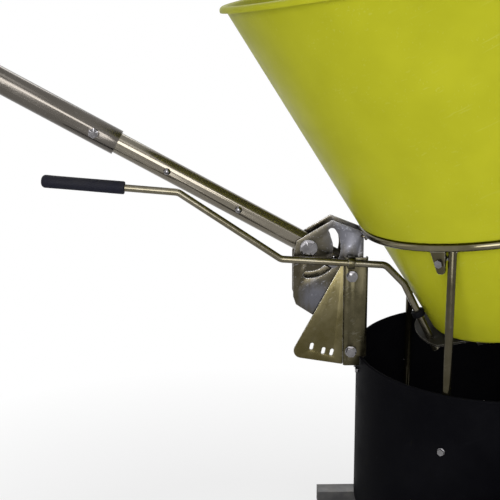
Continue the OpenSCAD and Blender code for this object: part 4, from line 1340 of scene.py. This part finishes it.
@dataclass
class RingAndLegs(Assembly):
    """The bar ring, its tabs and screws, and the legs."""

    tab_angle: float = 54.0
    tab_h: float = 30.0
    tab_t: float = 4.0
    tab_bead: float = 20.0
    bracket_angle: float = 174.5
    bead_r: float = 5.2
    bead_thick: float = 1.5
    tip_in: float = 15.0

    @staticmethod
    def round_bead(
        centre: Vector, u: Vector, v: Vector, radius: float, span: Point, thick: float
    ) -> Thing:
        """A weld bead along an arc, with its scales.

        Args:
            centre: The arc's centre.
            u: Direction of angle 0.
            v: Direction of angle 90.
            radius: The arc's radius.
            span: First and last angle, in degrees.
            thick: Radius of the bead.

        Returns:
            The bead.
        """
        steps = 28
        path, swell = [], []
        for i in range(steps + 1):
            angle = math.radians(span[0] + (span[1] - span[0]) * i / steps)
            path.append(tuple(centre + (u * math.cos(angle) + v * math.sin(angle)) * radius))
            ends = min(1.0, 0.35 + 3.0 * min(i, steps - i) / steps)
            swell.append(ends * (1.0 + 0.16 * math.sin(i * 2.1)))
        return Bench.bar(path, thick, swell, 3)

    @staticmethod
    def around(degrees: float) -> tuple[Vector, Vector]:
        """The directions outwards and along the ring at an angle."""
        out = Vector((math.cos(math.radians(degrees)), math.sin(math.radians(degrees)), 0))
        return out, Vector((0, 0, 1)).cross(out)

    def ring(self) -> Thing:
        """The ring with the weld beads of its legs, tabs and bracket.

        Returns:
            The ring, in place.
        """
        parts = [Bench.add(
            bpy.ops.mesh.primitive_torus_add, major_radius=LAYOUT.ring_r,
            minor_radius=LAYOUT.ring_bar / 2, major_segments=160, minor_segments=22,
        )]
        up = Vector((0, 0, 1))
        joints = [(angle, -5.0, 3.0) for angle in mirrored(LAYOUT.leg_angle)]
        joints += [(side * self.bracket_angle, 1.0, 4.6) for side in (1, -1)]
        for angle, further, down in joints:
            out, along = self.around(angle)
            low = out * (LAYOUT.ring_r + further) - up * down
            for over, radius, span, thick in (
                (-up, self.bead_r, (15.0, 165.0), self.bead_thick + 0.2),
                (out, self.bead_r + 0.2, (-10.0, 190.0), self.bead_thick),
            ):
                parts.append(self.round_bead(low, along, over, radius, span, thick))
        for angle in mirrored(self.tab_angle):
            out, along = self.around(angle)
            start = out * (LAYOUT.ring_r + 2.2) - up * (LAYOUT.ring_bar / 2 - 0.6)
            start -= along * self.tab_bead / 2
            path = [tuple(start + along * (self.tab_bead * i / 16)) for i in range(17)]
            swell = [0.8 + 0.22 * math.sin(i * 2.2) for i in range(17)]
            parts.append(Bench.bar(path, self.bead_thick, swell, 3))
        return Bench.place(Bench.join(parts), LAYOUT.leaned())

    def build(self) -> None:
        """Builds the ring, tabs, screws and legs."""
        self.shop.hand_over(self.ring(), Finishes.PLATE, "support_ring", 50.0)
        # The tabs get the olive zinc's darker copy, with painted shade.
        self.shop.refine(Finishes.SHADED_SHEET, 0.5, "ring_tabs")
        along = -LAYOUT.ring_bar / 2 - self.tab_h / 2
        head = LAYOUT.ring_r + self.tab_t / 2 + LAYOUT.seat
        tip = LAYOUT.ring_r - self.tip_in + LAYOUT.cone_slope * (along + 6.0) + LAYOUT.slide
        places = [
            LAYOUT.leaned() @ turn(a, "Z") @ move(head, 0, along) @ turn(-90, "Y")
            for a in mirrored(self.tab_angle)
        ]
        screw = Fasteners.bolt(6.0, length=head - tip, threaded=18.0)
        self.shop.fasten("tab_screws", screw, *places)
        legs = [f"leg_{end}_{side}" for end in ("rear", "front") for side in ("right", "left")]
        # The legs get the plated bar's darker copy, with painted shade.
        self.shop.refine(Finishes.SHADED_LEG_PLATE, 0.3, *legs)


@dataclass
class Drum(Assembly):
    """The drum that limits the spread, with its screws and the post's bracket."""

    wall: float = 3.0
    bottom: float = 217.7
    edge: float = 0.6
    screw_z: float = 376.0
    bracket_y: float = 10.0
    bracket_down: float = 25.0

    def shell(self) -> Thing:
        """The drum's wall with its rolled rim.

        Returns:
            The drum, in place.
        """
        outer, inner, low = LAYOUT.drum_r, LAYOUT.drum_r - self.wall, self.bottom
        rim = arc((outer - self.wall / 2, LAYOUT.rim_z), LAYOUT.rim_bead, -46.0, 226.0, 14)
        wall = [(outer, low + self.edge), (outer, 300.0), (outer, LAYOUT.rim_z - 1.8), *rim]
        wall += [(inner, LAYOUT.rim_z - 1.8), (inner, 300.0), (inner, low + self.edge)]
        wall += [(inner + self.edge, low), (outer - self.edge, low), (outer, low + self.edge)]
        return Bench.place(Bench.lathe(wall, 160), LAYOUT.machine())

    def build(self) -> None:
        """Builds the drum, its screws and its bracket."""
        self.shop.hand_over(self.shell(), Finishes.DRUM, "drum")
        face = LAYOUT.drum_r + LAYOUT.seat
        places = [
            LAYOUT.machine() @ turn(a, "Z") @ move(face, 0, self.screw_z) @ turn(-90, "Y")
            for a in mirrored(LAYOUT.leg_angle)
        ]
        screw = Fasteners.bolt(5.0, length=LAYOUT.drum_r - LAYOUT.leg_r, threaded=8.0, washer=True)
        self.shop.fasten("drum_screws", screw, *places)
        self.shop.refine(Finishes.SHEET, 0.4, "drum_bracket")
        height = LAYOUT.rim_z - self.bracket_down
        places = [
            LAYOUT.machine(-face, side * self.bracket_y, height) @ turn(90, "Y") for side in (-1, 1)
        ]
        screw = Fasteners.bolt(5.0, length=14.0, threaded=12.0)
        self.shop.fasten("drum_bracket_screws", screw, *places)


@dataclass
class BaseFrame(Assembly):
    """Crossbars, rails, stand and the gear housing."""

    cover_screw_x: float = 39.0
    cover_screw_y: float = 42.0
    cover_z: float = 139.6
    bolt_x: float = 31.0
    bolt_y: float = 82.7
    bolt_len: float = 43.7

    def build(self) -> None:
        """Builds the base frame and the housing."""
        bars = ("crossbar_rear", "crossbar_front", "rail_right", "rail_left", "rear_stand")
        self.shop.refine(Finishes.FRAME_PAINT, 0.9, *bars)
        self.shop.refine(Finishes.CASTING, 2.0, "gear_housing")
        self.shop.refine(Finishes.CASTING, 0.8, "housing_cover")
        self.shop.refine(Finishes.BRONZE, 0.4, "axle_bushes", "shaft_bush")
        places = [
            LAYOUT.machine(LAYOUT.shaft_x + x, y, self.cover_z)
            for x, y in corners_of(self.cover_screw_x, self.cover_screw_y)
        ]
        self.shop.fasten("cover_screws", Fasteners.pan_screw(), *places)
        places = [
            LAYOUT.machine(LAYOUT.shaft_x + x, y, LAYOUT.axle_z) @ turn(math.copysign(90, y), "X")
            for x, y in corners_of(self.bolt_x, self.bolt_y)
        ]
        bolt = Fasteners.bolt(8.0, length=self.bolt_len, threaded=20.0, washer=True)
        self.shop.fasten("housing_bolts", bolt, *places)


@dataclass
class Running(Assembly):
    """Axle, wheels, tyres, gears, shaft and disc."""

    wheel_r: float = 180.0
    tyre_r: float = 32.0
    wall: float = 6.0
    rim_lap: float = 4.2
    half_track: float = 270.0
    tread: float = 2.4
    steps: int = 96
    row_pitch: float = 7.5
    nut_y: float = 305.4

    def tyre(self, side: int) -> Thing:
        """A tyre with moulded tread blocks.

        Args:
            side: 1 for the left wheel, -1 for the right.

        Returns:
            The tyre.
        """
        seat_r = self.wheel_r - 2 * self.tyre_r + self.rim_lap
        mid, outer = self.wheel_r - self.tyre_r, self.tyre_r - self.tread
        half = self.tyre_r * 0.8 - self.rim_lap
        wide = math.degrees(math.asin(half / outer))
        profile = [(seat_r, half), *arc((mid, 0.0), outer, 180.0 - wide, wide - 180.0, 36)]
        profile += [(seat_r, -half), (seat_r, self.wall - half)]
        profile += arc((mid, 0.0), self.tyre_r - self.wall, -135.0, 135.0, 16)
        tyre = Bench.lathe([*profile, (seat_r, half - self.wall), (seat_r, half)], self.steps)
        step = 2 * math.pi / self.steps

        def in_block(centre: Vector, normal: Vector) -> bool:
            """Whether a face is the ground of a tread block.

            Args:
                centre: The face's centre.
                normal: Its normal.

            Returns:
                True where the face is raised.
            """
            outside = normal.x * centre.x + normal.y * centre.y > 0
            if not outside or math.hypot(centre.x, centre.y) < mid + outer * 0.62:
                return False
            # Rounded, because the faces of every other row lie on a border of the pattern
            turns = round(math.atan2(centre.y, centre.x) / step, 2)
            row = int(abs(centre.z) // self.row_pitch)
            return int(math.floor(turns + 1.5 * row + 10 * self.steps)) % 3 != 0

        Bench.open(tyre)
        Bench.pick("FACE", in_block)
        bpy.ops.mesh.extrude_region_shrink_fatten(
            TRANSFORM_OT_shrink_fatten={"value": self.tread}
        )
        Bench.close()
        Bench.soften(tyre, 0.5, 1, 40.0)
        for corner in tyre.data.vertices:
            share = self.wheel_r / max(math.hypot(corner.co.x, corner.co.y), self.wheel_r)
            corner.co.x *= share
            corner.co.y *= share
        where = LAYOUT.machine(LAYOUT.shaft_x, side * self.half_track, LAYOUT.axle_z)
        return Bench.place(tyre, where @ turn(-90, "X"))

    def build(self) -> None:
        """Builds what rolls and turns."""
        for name, side in (("left", 1), ("right", -1)):
            self.shop.hand_over(self.tyre(side), Finishes.TYRE, "tyre_" + name)
            self.shop.refine(Finishes.WHEEL, 0.8, "wheel_" + name)
        self.shop.refine(Finishes.SHAFT, 0.8, "axle")
        for node, side in (("axle_nuts", 1), ("free_wheel_nut", -1)):
            where = LAYOUT.machine(LAYOUT.shaft_x, side * self.nut_y, LAYOUT.axle_z)
            nut = Fasteners.nut(16.0, height=12.0, radius=13.6)
            self.shop.fasten(node, nut, where @ turn(side * -90, "X"))
        self.shop.refine(Finishes.GEAR, 0.3, "bevel_gear")
        self.shop.refine(Finishes.GEAR, 0.2, "bevel_pinion")
        self.shop.refine(Finishes.SHAFT, 0.4, "spinner_shaft")
        self.shop.refine(Finishes.DISC, 0.8, "spinner_disc")
        self.shop.refine(Finishes.SHAFT, 0.8, "agitator")


@dataclass
class BracketAndPost(Assembly):
    """The handle's bracket, the post with its gusset, the rod's guide and their bolts."""

    bolt_back: float = 6.0
    bolt_down: float = 27.0
    bolt_up: float = 8.0
    nut_at: float = 12.2
    web_in: float = 1.0
    within: float = 0.2

    def is_bend(self, a: Vector, b: Vector) -> bool:
        """Whether an edge of the bracket is one of the two bends beside its web.

        Args:
            a: The edge's one end.
            b: Its other end.

        Returns:
            True for an edge of a bend.
        """
        near = self.within * MILLIMETRE
        if max(abs(a.x - b.x), abs(a.y - b.y)) > near / 2:
            return False
        front = LAYOUT.pivot[0] + LAYOUT.pivot_back - self.web_in - LAYOUT.middle_x
        outer = LAYOUT.plate_y * MILLIMETRE
        return abs(a.x - front * MILLIMETRE) < near and abs(abs(a.y) - outer) < near

    def build(self) -> None:
        """Builds the bracket and everything on the post."""
        self.shop.refine(Finishes.SHEET, 0.5, "handle_bracket", bends=self.is_bend)
        # The post and the rod guide get the olive zinc's darker copy, with painted shade.
        self.shop.refine(Finishes.SHADED_SHEET, 0.4, "post")
        self.shop.refine(Finishes.OLIVE_SHEET, 0.5, "gusset_plate")
        self.shop.refine(Finishes.SHADED_SHEET, 0.5, "rod_guide")
        x = LAYOUT.post_x - self.bolt_back
        across = [
            LAYOUT.machine(x, LAYOUT.post_y, z) @ turn(-90, "X")
            for z in (LAYOUT.post_top - self.bolt_down, LAYOUT.post_bottom + self.bolt_up)
        ]
        outside = [place @ move(0, 0, -LAYOUT.seat) for place in across]
        bolt = Fasteners.bolt(8.0, length=21.0, threaded=14.0, washer=True)
        self.shop.fasten("post_bolts", bolt, *outside)
        inside = [place @ move(0, 0, self.nut_at) for place in across]
        self.shop.fasten("post_nuts", Fasteners.nut(8.0, height=6.4, radius=7.36), *inside)
        x, z = LAYOUT.pivot
        face = LAYOUT.plate_y + LAYOUT.seat
        near, far = (LAYOUT.machine(x, y, z) @ turn(-90, "X") for y in (-face, face))
        bolt = Fasteners.bolt(12.0, length=2 * face + 12.0, threaded=20.0, washer=True)
        self.shop.fasten("pivot_bolt", bolt, near @ turn(12, "Z"))
        self.shop.fasten("pivot_nut", Fasteners.nut(12.0, height=9.6, radius=11.04), far)


@dataclass
class ControlRod(Assembly):
    """The bent rod with its rubber grip and collar."""

    bend_r: float = 14.0
    slope: float = 4.0
    guide_in: float = 9.0
    front_run: float = 48.0
    rear_run: float = 99.0
    crank: Point = (27.0, -28.0)
    lift: Point = (-141.0, 97.0)
    tail_slope: float = 5.5
    tail_len: float = 183.5
    hole: Point = (-123.0, -167.9)
    past_hole: float = 18.8
    grip_len: float = 110.0
    grip_d: float = 18.0

    def guided(self, ahead: float) -> Vector:
        """A point of the rod's guided stretch.

        Args:
            ahead: The distance, along the rod.

        Returns:
            The point's X and Z.
        """
        slope = math.radians(self.slope)
        x = LAYOUT.post_x - LAYOUT.post_w / 2 + self.guide_in
        z = LAYOUT.post_top - LAYOUT.rod_d / 2
        return Vector((x + ahead * math.cos(slope), z - ahead * math.sin(slope)))

    @property
    def corners(self) -> list[Point]:
        """The rod's ends and bends.

        Returns:
            X and Z of each, from the grip to the gate.
        """
        lean, tilt = math.radians(LAYOUT.lean), math.radians(self.tail_slope)
        along, down = self.hole
        hole = Vector((
            along * math.cos(lean) - down * math.sin(lean),
            LAYOUT.ring_z + along * math.sin(lean) + down * math.cos(lean),
        ))
        top, rear = self.guided(self.front_run), self.guided(-self.rear_run)
        low, handle = top + Vector(self.crank), rear + Vector(self.lift)
        tail = handle + Vector((-math.cos(tilt), math.sin(tilt))) * self.tail_len
        tip = hole + (hole - low).normalized() * self.past_hole
        return [tuple(p) for p in (tail, handle, rear, top, low, tip)]

    def rod(self) -> Thing:
        """The bent bar with broken ends.

        Returns:
            The rod, in place.
        """
        line = rounded(self.corners, [0, *[self.bend_r] * 4, 0], 10)
        first = Vector(line[0]) + (Vector(line[1]) - Vector(line[0])).normalized() * 1.0
        last = Vector(line[-1]) + (Vector(line[-2]) - Vector(line[-1])).normalized() * 1.2
        line = [line[0], tuple(first), *line[1:-1], tuple(last), line[-1]]
        swell = [0.8, *[1.0] * (len(line) - 2), 0.76]
        path = [(x, LAYOUT.rod_y, z) for x, z in line]
        return Bench.place(Bench.bar(path, LAYOUT.rod_d / 2, swell, 8), LAYOUT.machine())

    def grip(self) -> Thing:
        """The rubber grip, with a rounded end and a soft front lip.

        Returns:
            The grip, in place.
        """
        r, bore, end = self.grip_d / 2, LAYOUT.rod_d / 2 + 0.05, self.grip_len
        profile = [(0.0, -4.0), *arc((r - 6.0, 2.0), 6.0, -90.0, 0.0, 8)]
        profile += [(r - 0.15, 20.0), (r - 0.15, 60.0), (r, end - 12), (r, end - 1.2)]
        profile += [(r - 1.2, end), (bore + 0.8, end), (bore, end - 0.8), (bore, -0.2), (0.0, -0.2)]
        tail, handle = self.corners[:2]
        angle = math.degrees(math.atan2(handle[0] - tail[0], handle[1] - tail[1]))
        where = LAYOUT.machine(tail[0], LAYOUT.rod_y, tail[1]) @ turn(angle, "Y")
        return Bench.place(Bench.lathe(profile, 48), where)

    def build(self) -> None:
        """Builds the rod, its grip and its collar."""
        self.shop.hand_over(self.rod(), Finishes.ROD_PLATE, "control_rod", 40.0)
        self.shop.hand_over(self.grip(), Finishes.RUBBER, "lever_grip")
        self.shop.refine(Finishes.COLLAR, 0.6, "rod_stop")


@dataclass
class Handle(Assembly):
    """The telescoping handle with its crossbar and grips."""

    rivet_pitch: float = 113.0
    rivet_grip: float = 15.2
    slot_bolt_at: float = -40.0
    clamp_at: float = 339.0
    clamp_face: float = 18.2
    length: float = 830.0
    crossbar_len: float = 520.0
    crossbar_d: float = 28.0
    grip_len: float = 125.0
    grip_wall: float = 4.0
    ribs: int = 13

    def grip(self, side: int) -> Thing:
        """A ribbed handle grip with an end flange.

        Args:
            side: -1 for the left grip, 1 for the right.

        Returns:
            The grip.
        """
        bore, r = self.crossbar_d / 2 + 0.1, self.crossbar_d / 2 + self.grip_wall
        end = self.crossbar_len / 2 + LAYOUT.seat
        start = end - self.grip_len
        profile = [(bore, start), (r - 1.2, start), (r, start + 1.2), (r, start + 7.0)]
        for i in range(self.ribs):
            at, groove, crest = start + 9.0 + i * 8.0, r - 1.3, r - 0.3
            profile += [(groove, at), (groove, at + 1.8), (crest, at + 3.2), (crest, at + 6.6)]
        profile += [(r, end - 6.0), (r, end), *arc((r - 4.0, end), 4.0, 0.0, 90.0, 6)]
        profile += [(0.0, end + 4.0), (0.0, end), (bore, end), (bore, start)]
        where = LAYOUT.handle(self.length) @ turn(side * 90, "X")
        return Bench.place(Bench.lathe(profile, 48), where)

    def build(self) -> None:
        """Builds the handle from its pivot to its grips."""
        self.shop.refine(Finishes.HANDLE_PLATE, 0.5, "handle_tube")
        self.shop.refine(Finishes.SLEEVE_PLATE, 0.5, "handle_sleeve")
        self.shop.refine(Finishes.SHAFT, 0.5, "handle_crossbar")
        places = [
            LAYOUT.handle(i * self.rivet_pitch) @ turn(way, "X")
            for i in (1, 2) for way in (90, -90)
        ]
        rivet = Fasteners.rivet(5.0, self.rivet_grip)
        self.shop.fasten("tube_rivets", rivet, *places, angle=60.0)
        face = LAYOUT.plate_y + LAYOUT.slide
        near, far = (LAYOUT.handle(self.slot_bolt_at, y) @ turn(-90, "X") for y in (-face, face))
        bolt = Fasteners.bolt(10.0, length=2 * face + 10.0, threaded=18.0)
        self.shop.fasten("slot_bolt", bolt, near)
        self.shop.fasten("slot_nut", Fasteners.nut(10.0, height=8.0, radius=9.2), far)
        clamp = LAYOUT.handle(self.clamp_at, -self.clamp_face) @ turn(-90, "X") @ turn(9, "Z")
        self.shop.fasten("clamp_screw", Fasteners.bolt(8.0, length=2.8, threaded=2.0), clamp)
        for name, side in (("grip_left", -1), ("grip_right", 1)):
            self.shop.hand_over(self.grip(side), Finishes.RUBBER, name)


# Studio


@dataclass
class Studio:
    """Floor, lights, background and camera."""

    eye: Triple = (0.0192, -1.380, 0.9969)
    pitch: float = 15.6
    roll: float = -0.62
    lens: float = 72.0
    ambient: float = 0.15
    sensor: float = 36.0
    floor_size: float = 30.0
    floor_near: float = 0.45
    floor_far: float = 1.05
    floor_glow: float = 0.7
    target: Triple = (0.1, 0.0, 0.65)
    lamp_colour: Triple = (0.985, 0.985, 1.0)

    def camera(self) -> None:
        """Sets the camera at the photograph's angle."""
        camera = Bench.add(bpy.ops.object.camera_add, location=self.eye)
        camera.name = "photo_camera"
        camera.data.lens = self.lens
        camera.data.sensor_width = self.sensor
        camera.rotation_euler = (turn(90.0 - self.pitch, "X") @ turn(self.roll, "Z")).to_euler()
        bpy.context.scene.camera = camera

    def lamp(self, name: str, place: Triple, size: Point, power: float) -> None:
        """Adds a soft rectangular lamp that points at the target.

        Args:
            name: The lamp's name.
            place: Where it hangs.
            size: Its width and height.
            power: Its power in watts.
        """
        lamp = Bench.add(bpy.ops.object.light_add, type="AREA", location=place)
        lamp.name = name
        lamp.data.shape = "RECTANGLE"
        lamp.data.size, lamp.data.size_y = size
        lamp.data.energy = power
        lamp.data.color = self.lamp_colour
        aim = Vector(self.target) - Vector(place)
        lamp.rotation_euler = aim.to_track_quat("-Z", "Y").to_euler()

    def background(self) -> None:
        """A white background for camera, gloss and glass, and a softer light for the rest."""
        world = bpy.data.worlds.new("studio_air")
        bpy.context.scene.world = world
        web = Web.of(world)
        strength = web.span(web.looked_at(), (1 + self.ambient) / 2, 1 - self.ambient)
        air = web.node("ShaderNodeBackground", Color=WHITE, Strength=strength)
        web.node("ShaderNodeOutputWorld", Surface=air.outputs[0])

    def floor(self) -> None:
        """A pale floor that keeps the object's shadow near it and is white further off."""
        floor = Bench.add(bpy.ops.mesh.primitive_plane_add, size=self.floor_size)
        floor.name = "studio_floor"
        material = bpy.data.materials.new("pale_floor")
        web = Web.of(material)
        matt = web.node("ShaderNodeBsdfDiffuse", Color=(0.8, 0.8, 0.8))
        glow = web.node("ShaderNodeEmission", Color=WHITE)
        far = web.vectors("LENGTH", web.node("ShaderNodeTexCoord").outputs["Object"])
        far = web.remap(far, self.floor_near, self.floor_far)
        share = web.plus(web.times(far, 1 - self.floor_glow), self.floor_glow)
        mix = web.node("ShaderNodeMixShader", Fac=web.times(web.looked_at(), share))
        web.join(matt.outputs[0], mix.inputs[1])
        web.join(glow.outputs[0], mix.inputs[2])
        web.node("ShaderNodeOutputMaterial", Surface=mix.outputs[0])
        floor.data.materials.append(material)

    def build(self) -> None:
        """Builds the studio round the object."""
        self.camera()
        self.background()
        self.floor()
        self.lamp("front_lamp", (-0.25, -2.3, 1.28), (1.6, 1.35), 52.0)
        self.lamp("key_lamp", (-0.1, -1.5, 2.9), (2.4, 1.0), 11.0)
        self.lamp("left_lamp", (-2.3, 0.3, 1.2), (0.9, 1.5), 6.0)
        self.lamp("right_lamp", (2.4, -0.8, 1.3), (1.2, 1.6), 9.0)
        self.lamp("back_lamp", (-0.2, 2.0, 2.6), (2.0, 1.0), 24.0)


def main() -> None:
    """Builds the whole scene and notes its size."""
    logging.basicConfig(level=logging.INFO, format="%(message)s")
    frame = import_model()
    shop = Shop(frame)
    units = (HopperUnit, RingAndLegs, Drum, BaseFrame, Running, BracketAndPost, ControlRod, Handle)
    for unit in units:
        LOG.info("building %s", unit.__name__)
        unit(shop).build()
    left = sorted(set(shop.nodes) - shop.done)
    if left:
        LOG.warning("no piece stands for %s", left)
    bpy.context.scene.view_settings.view_transform = "Standard"
    Studio().build()


if __name__ == "__main__":
    main()
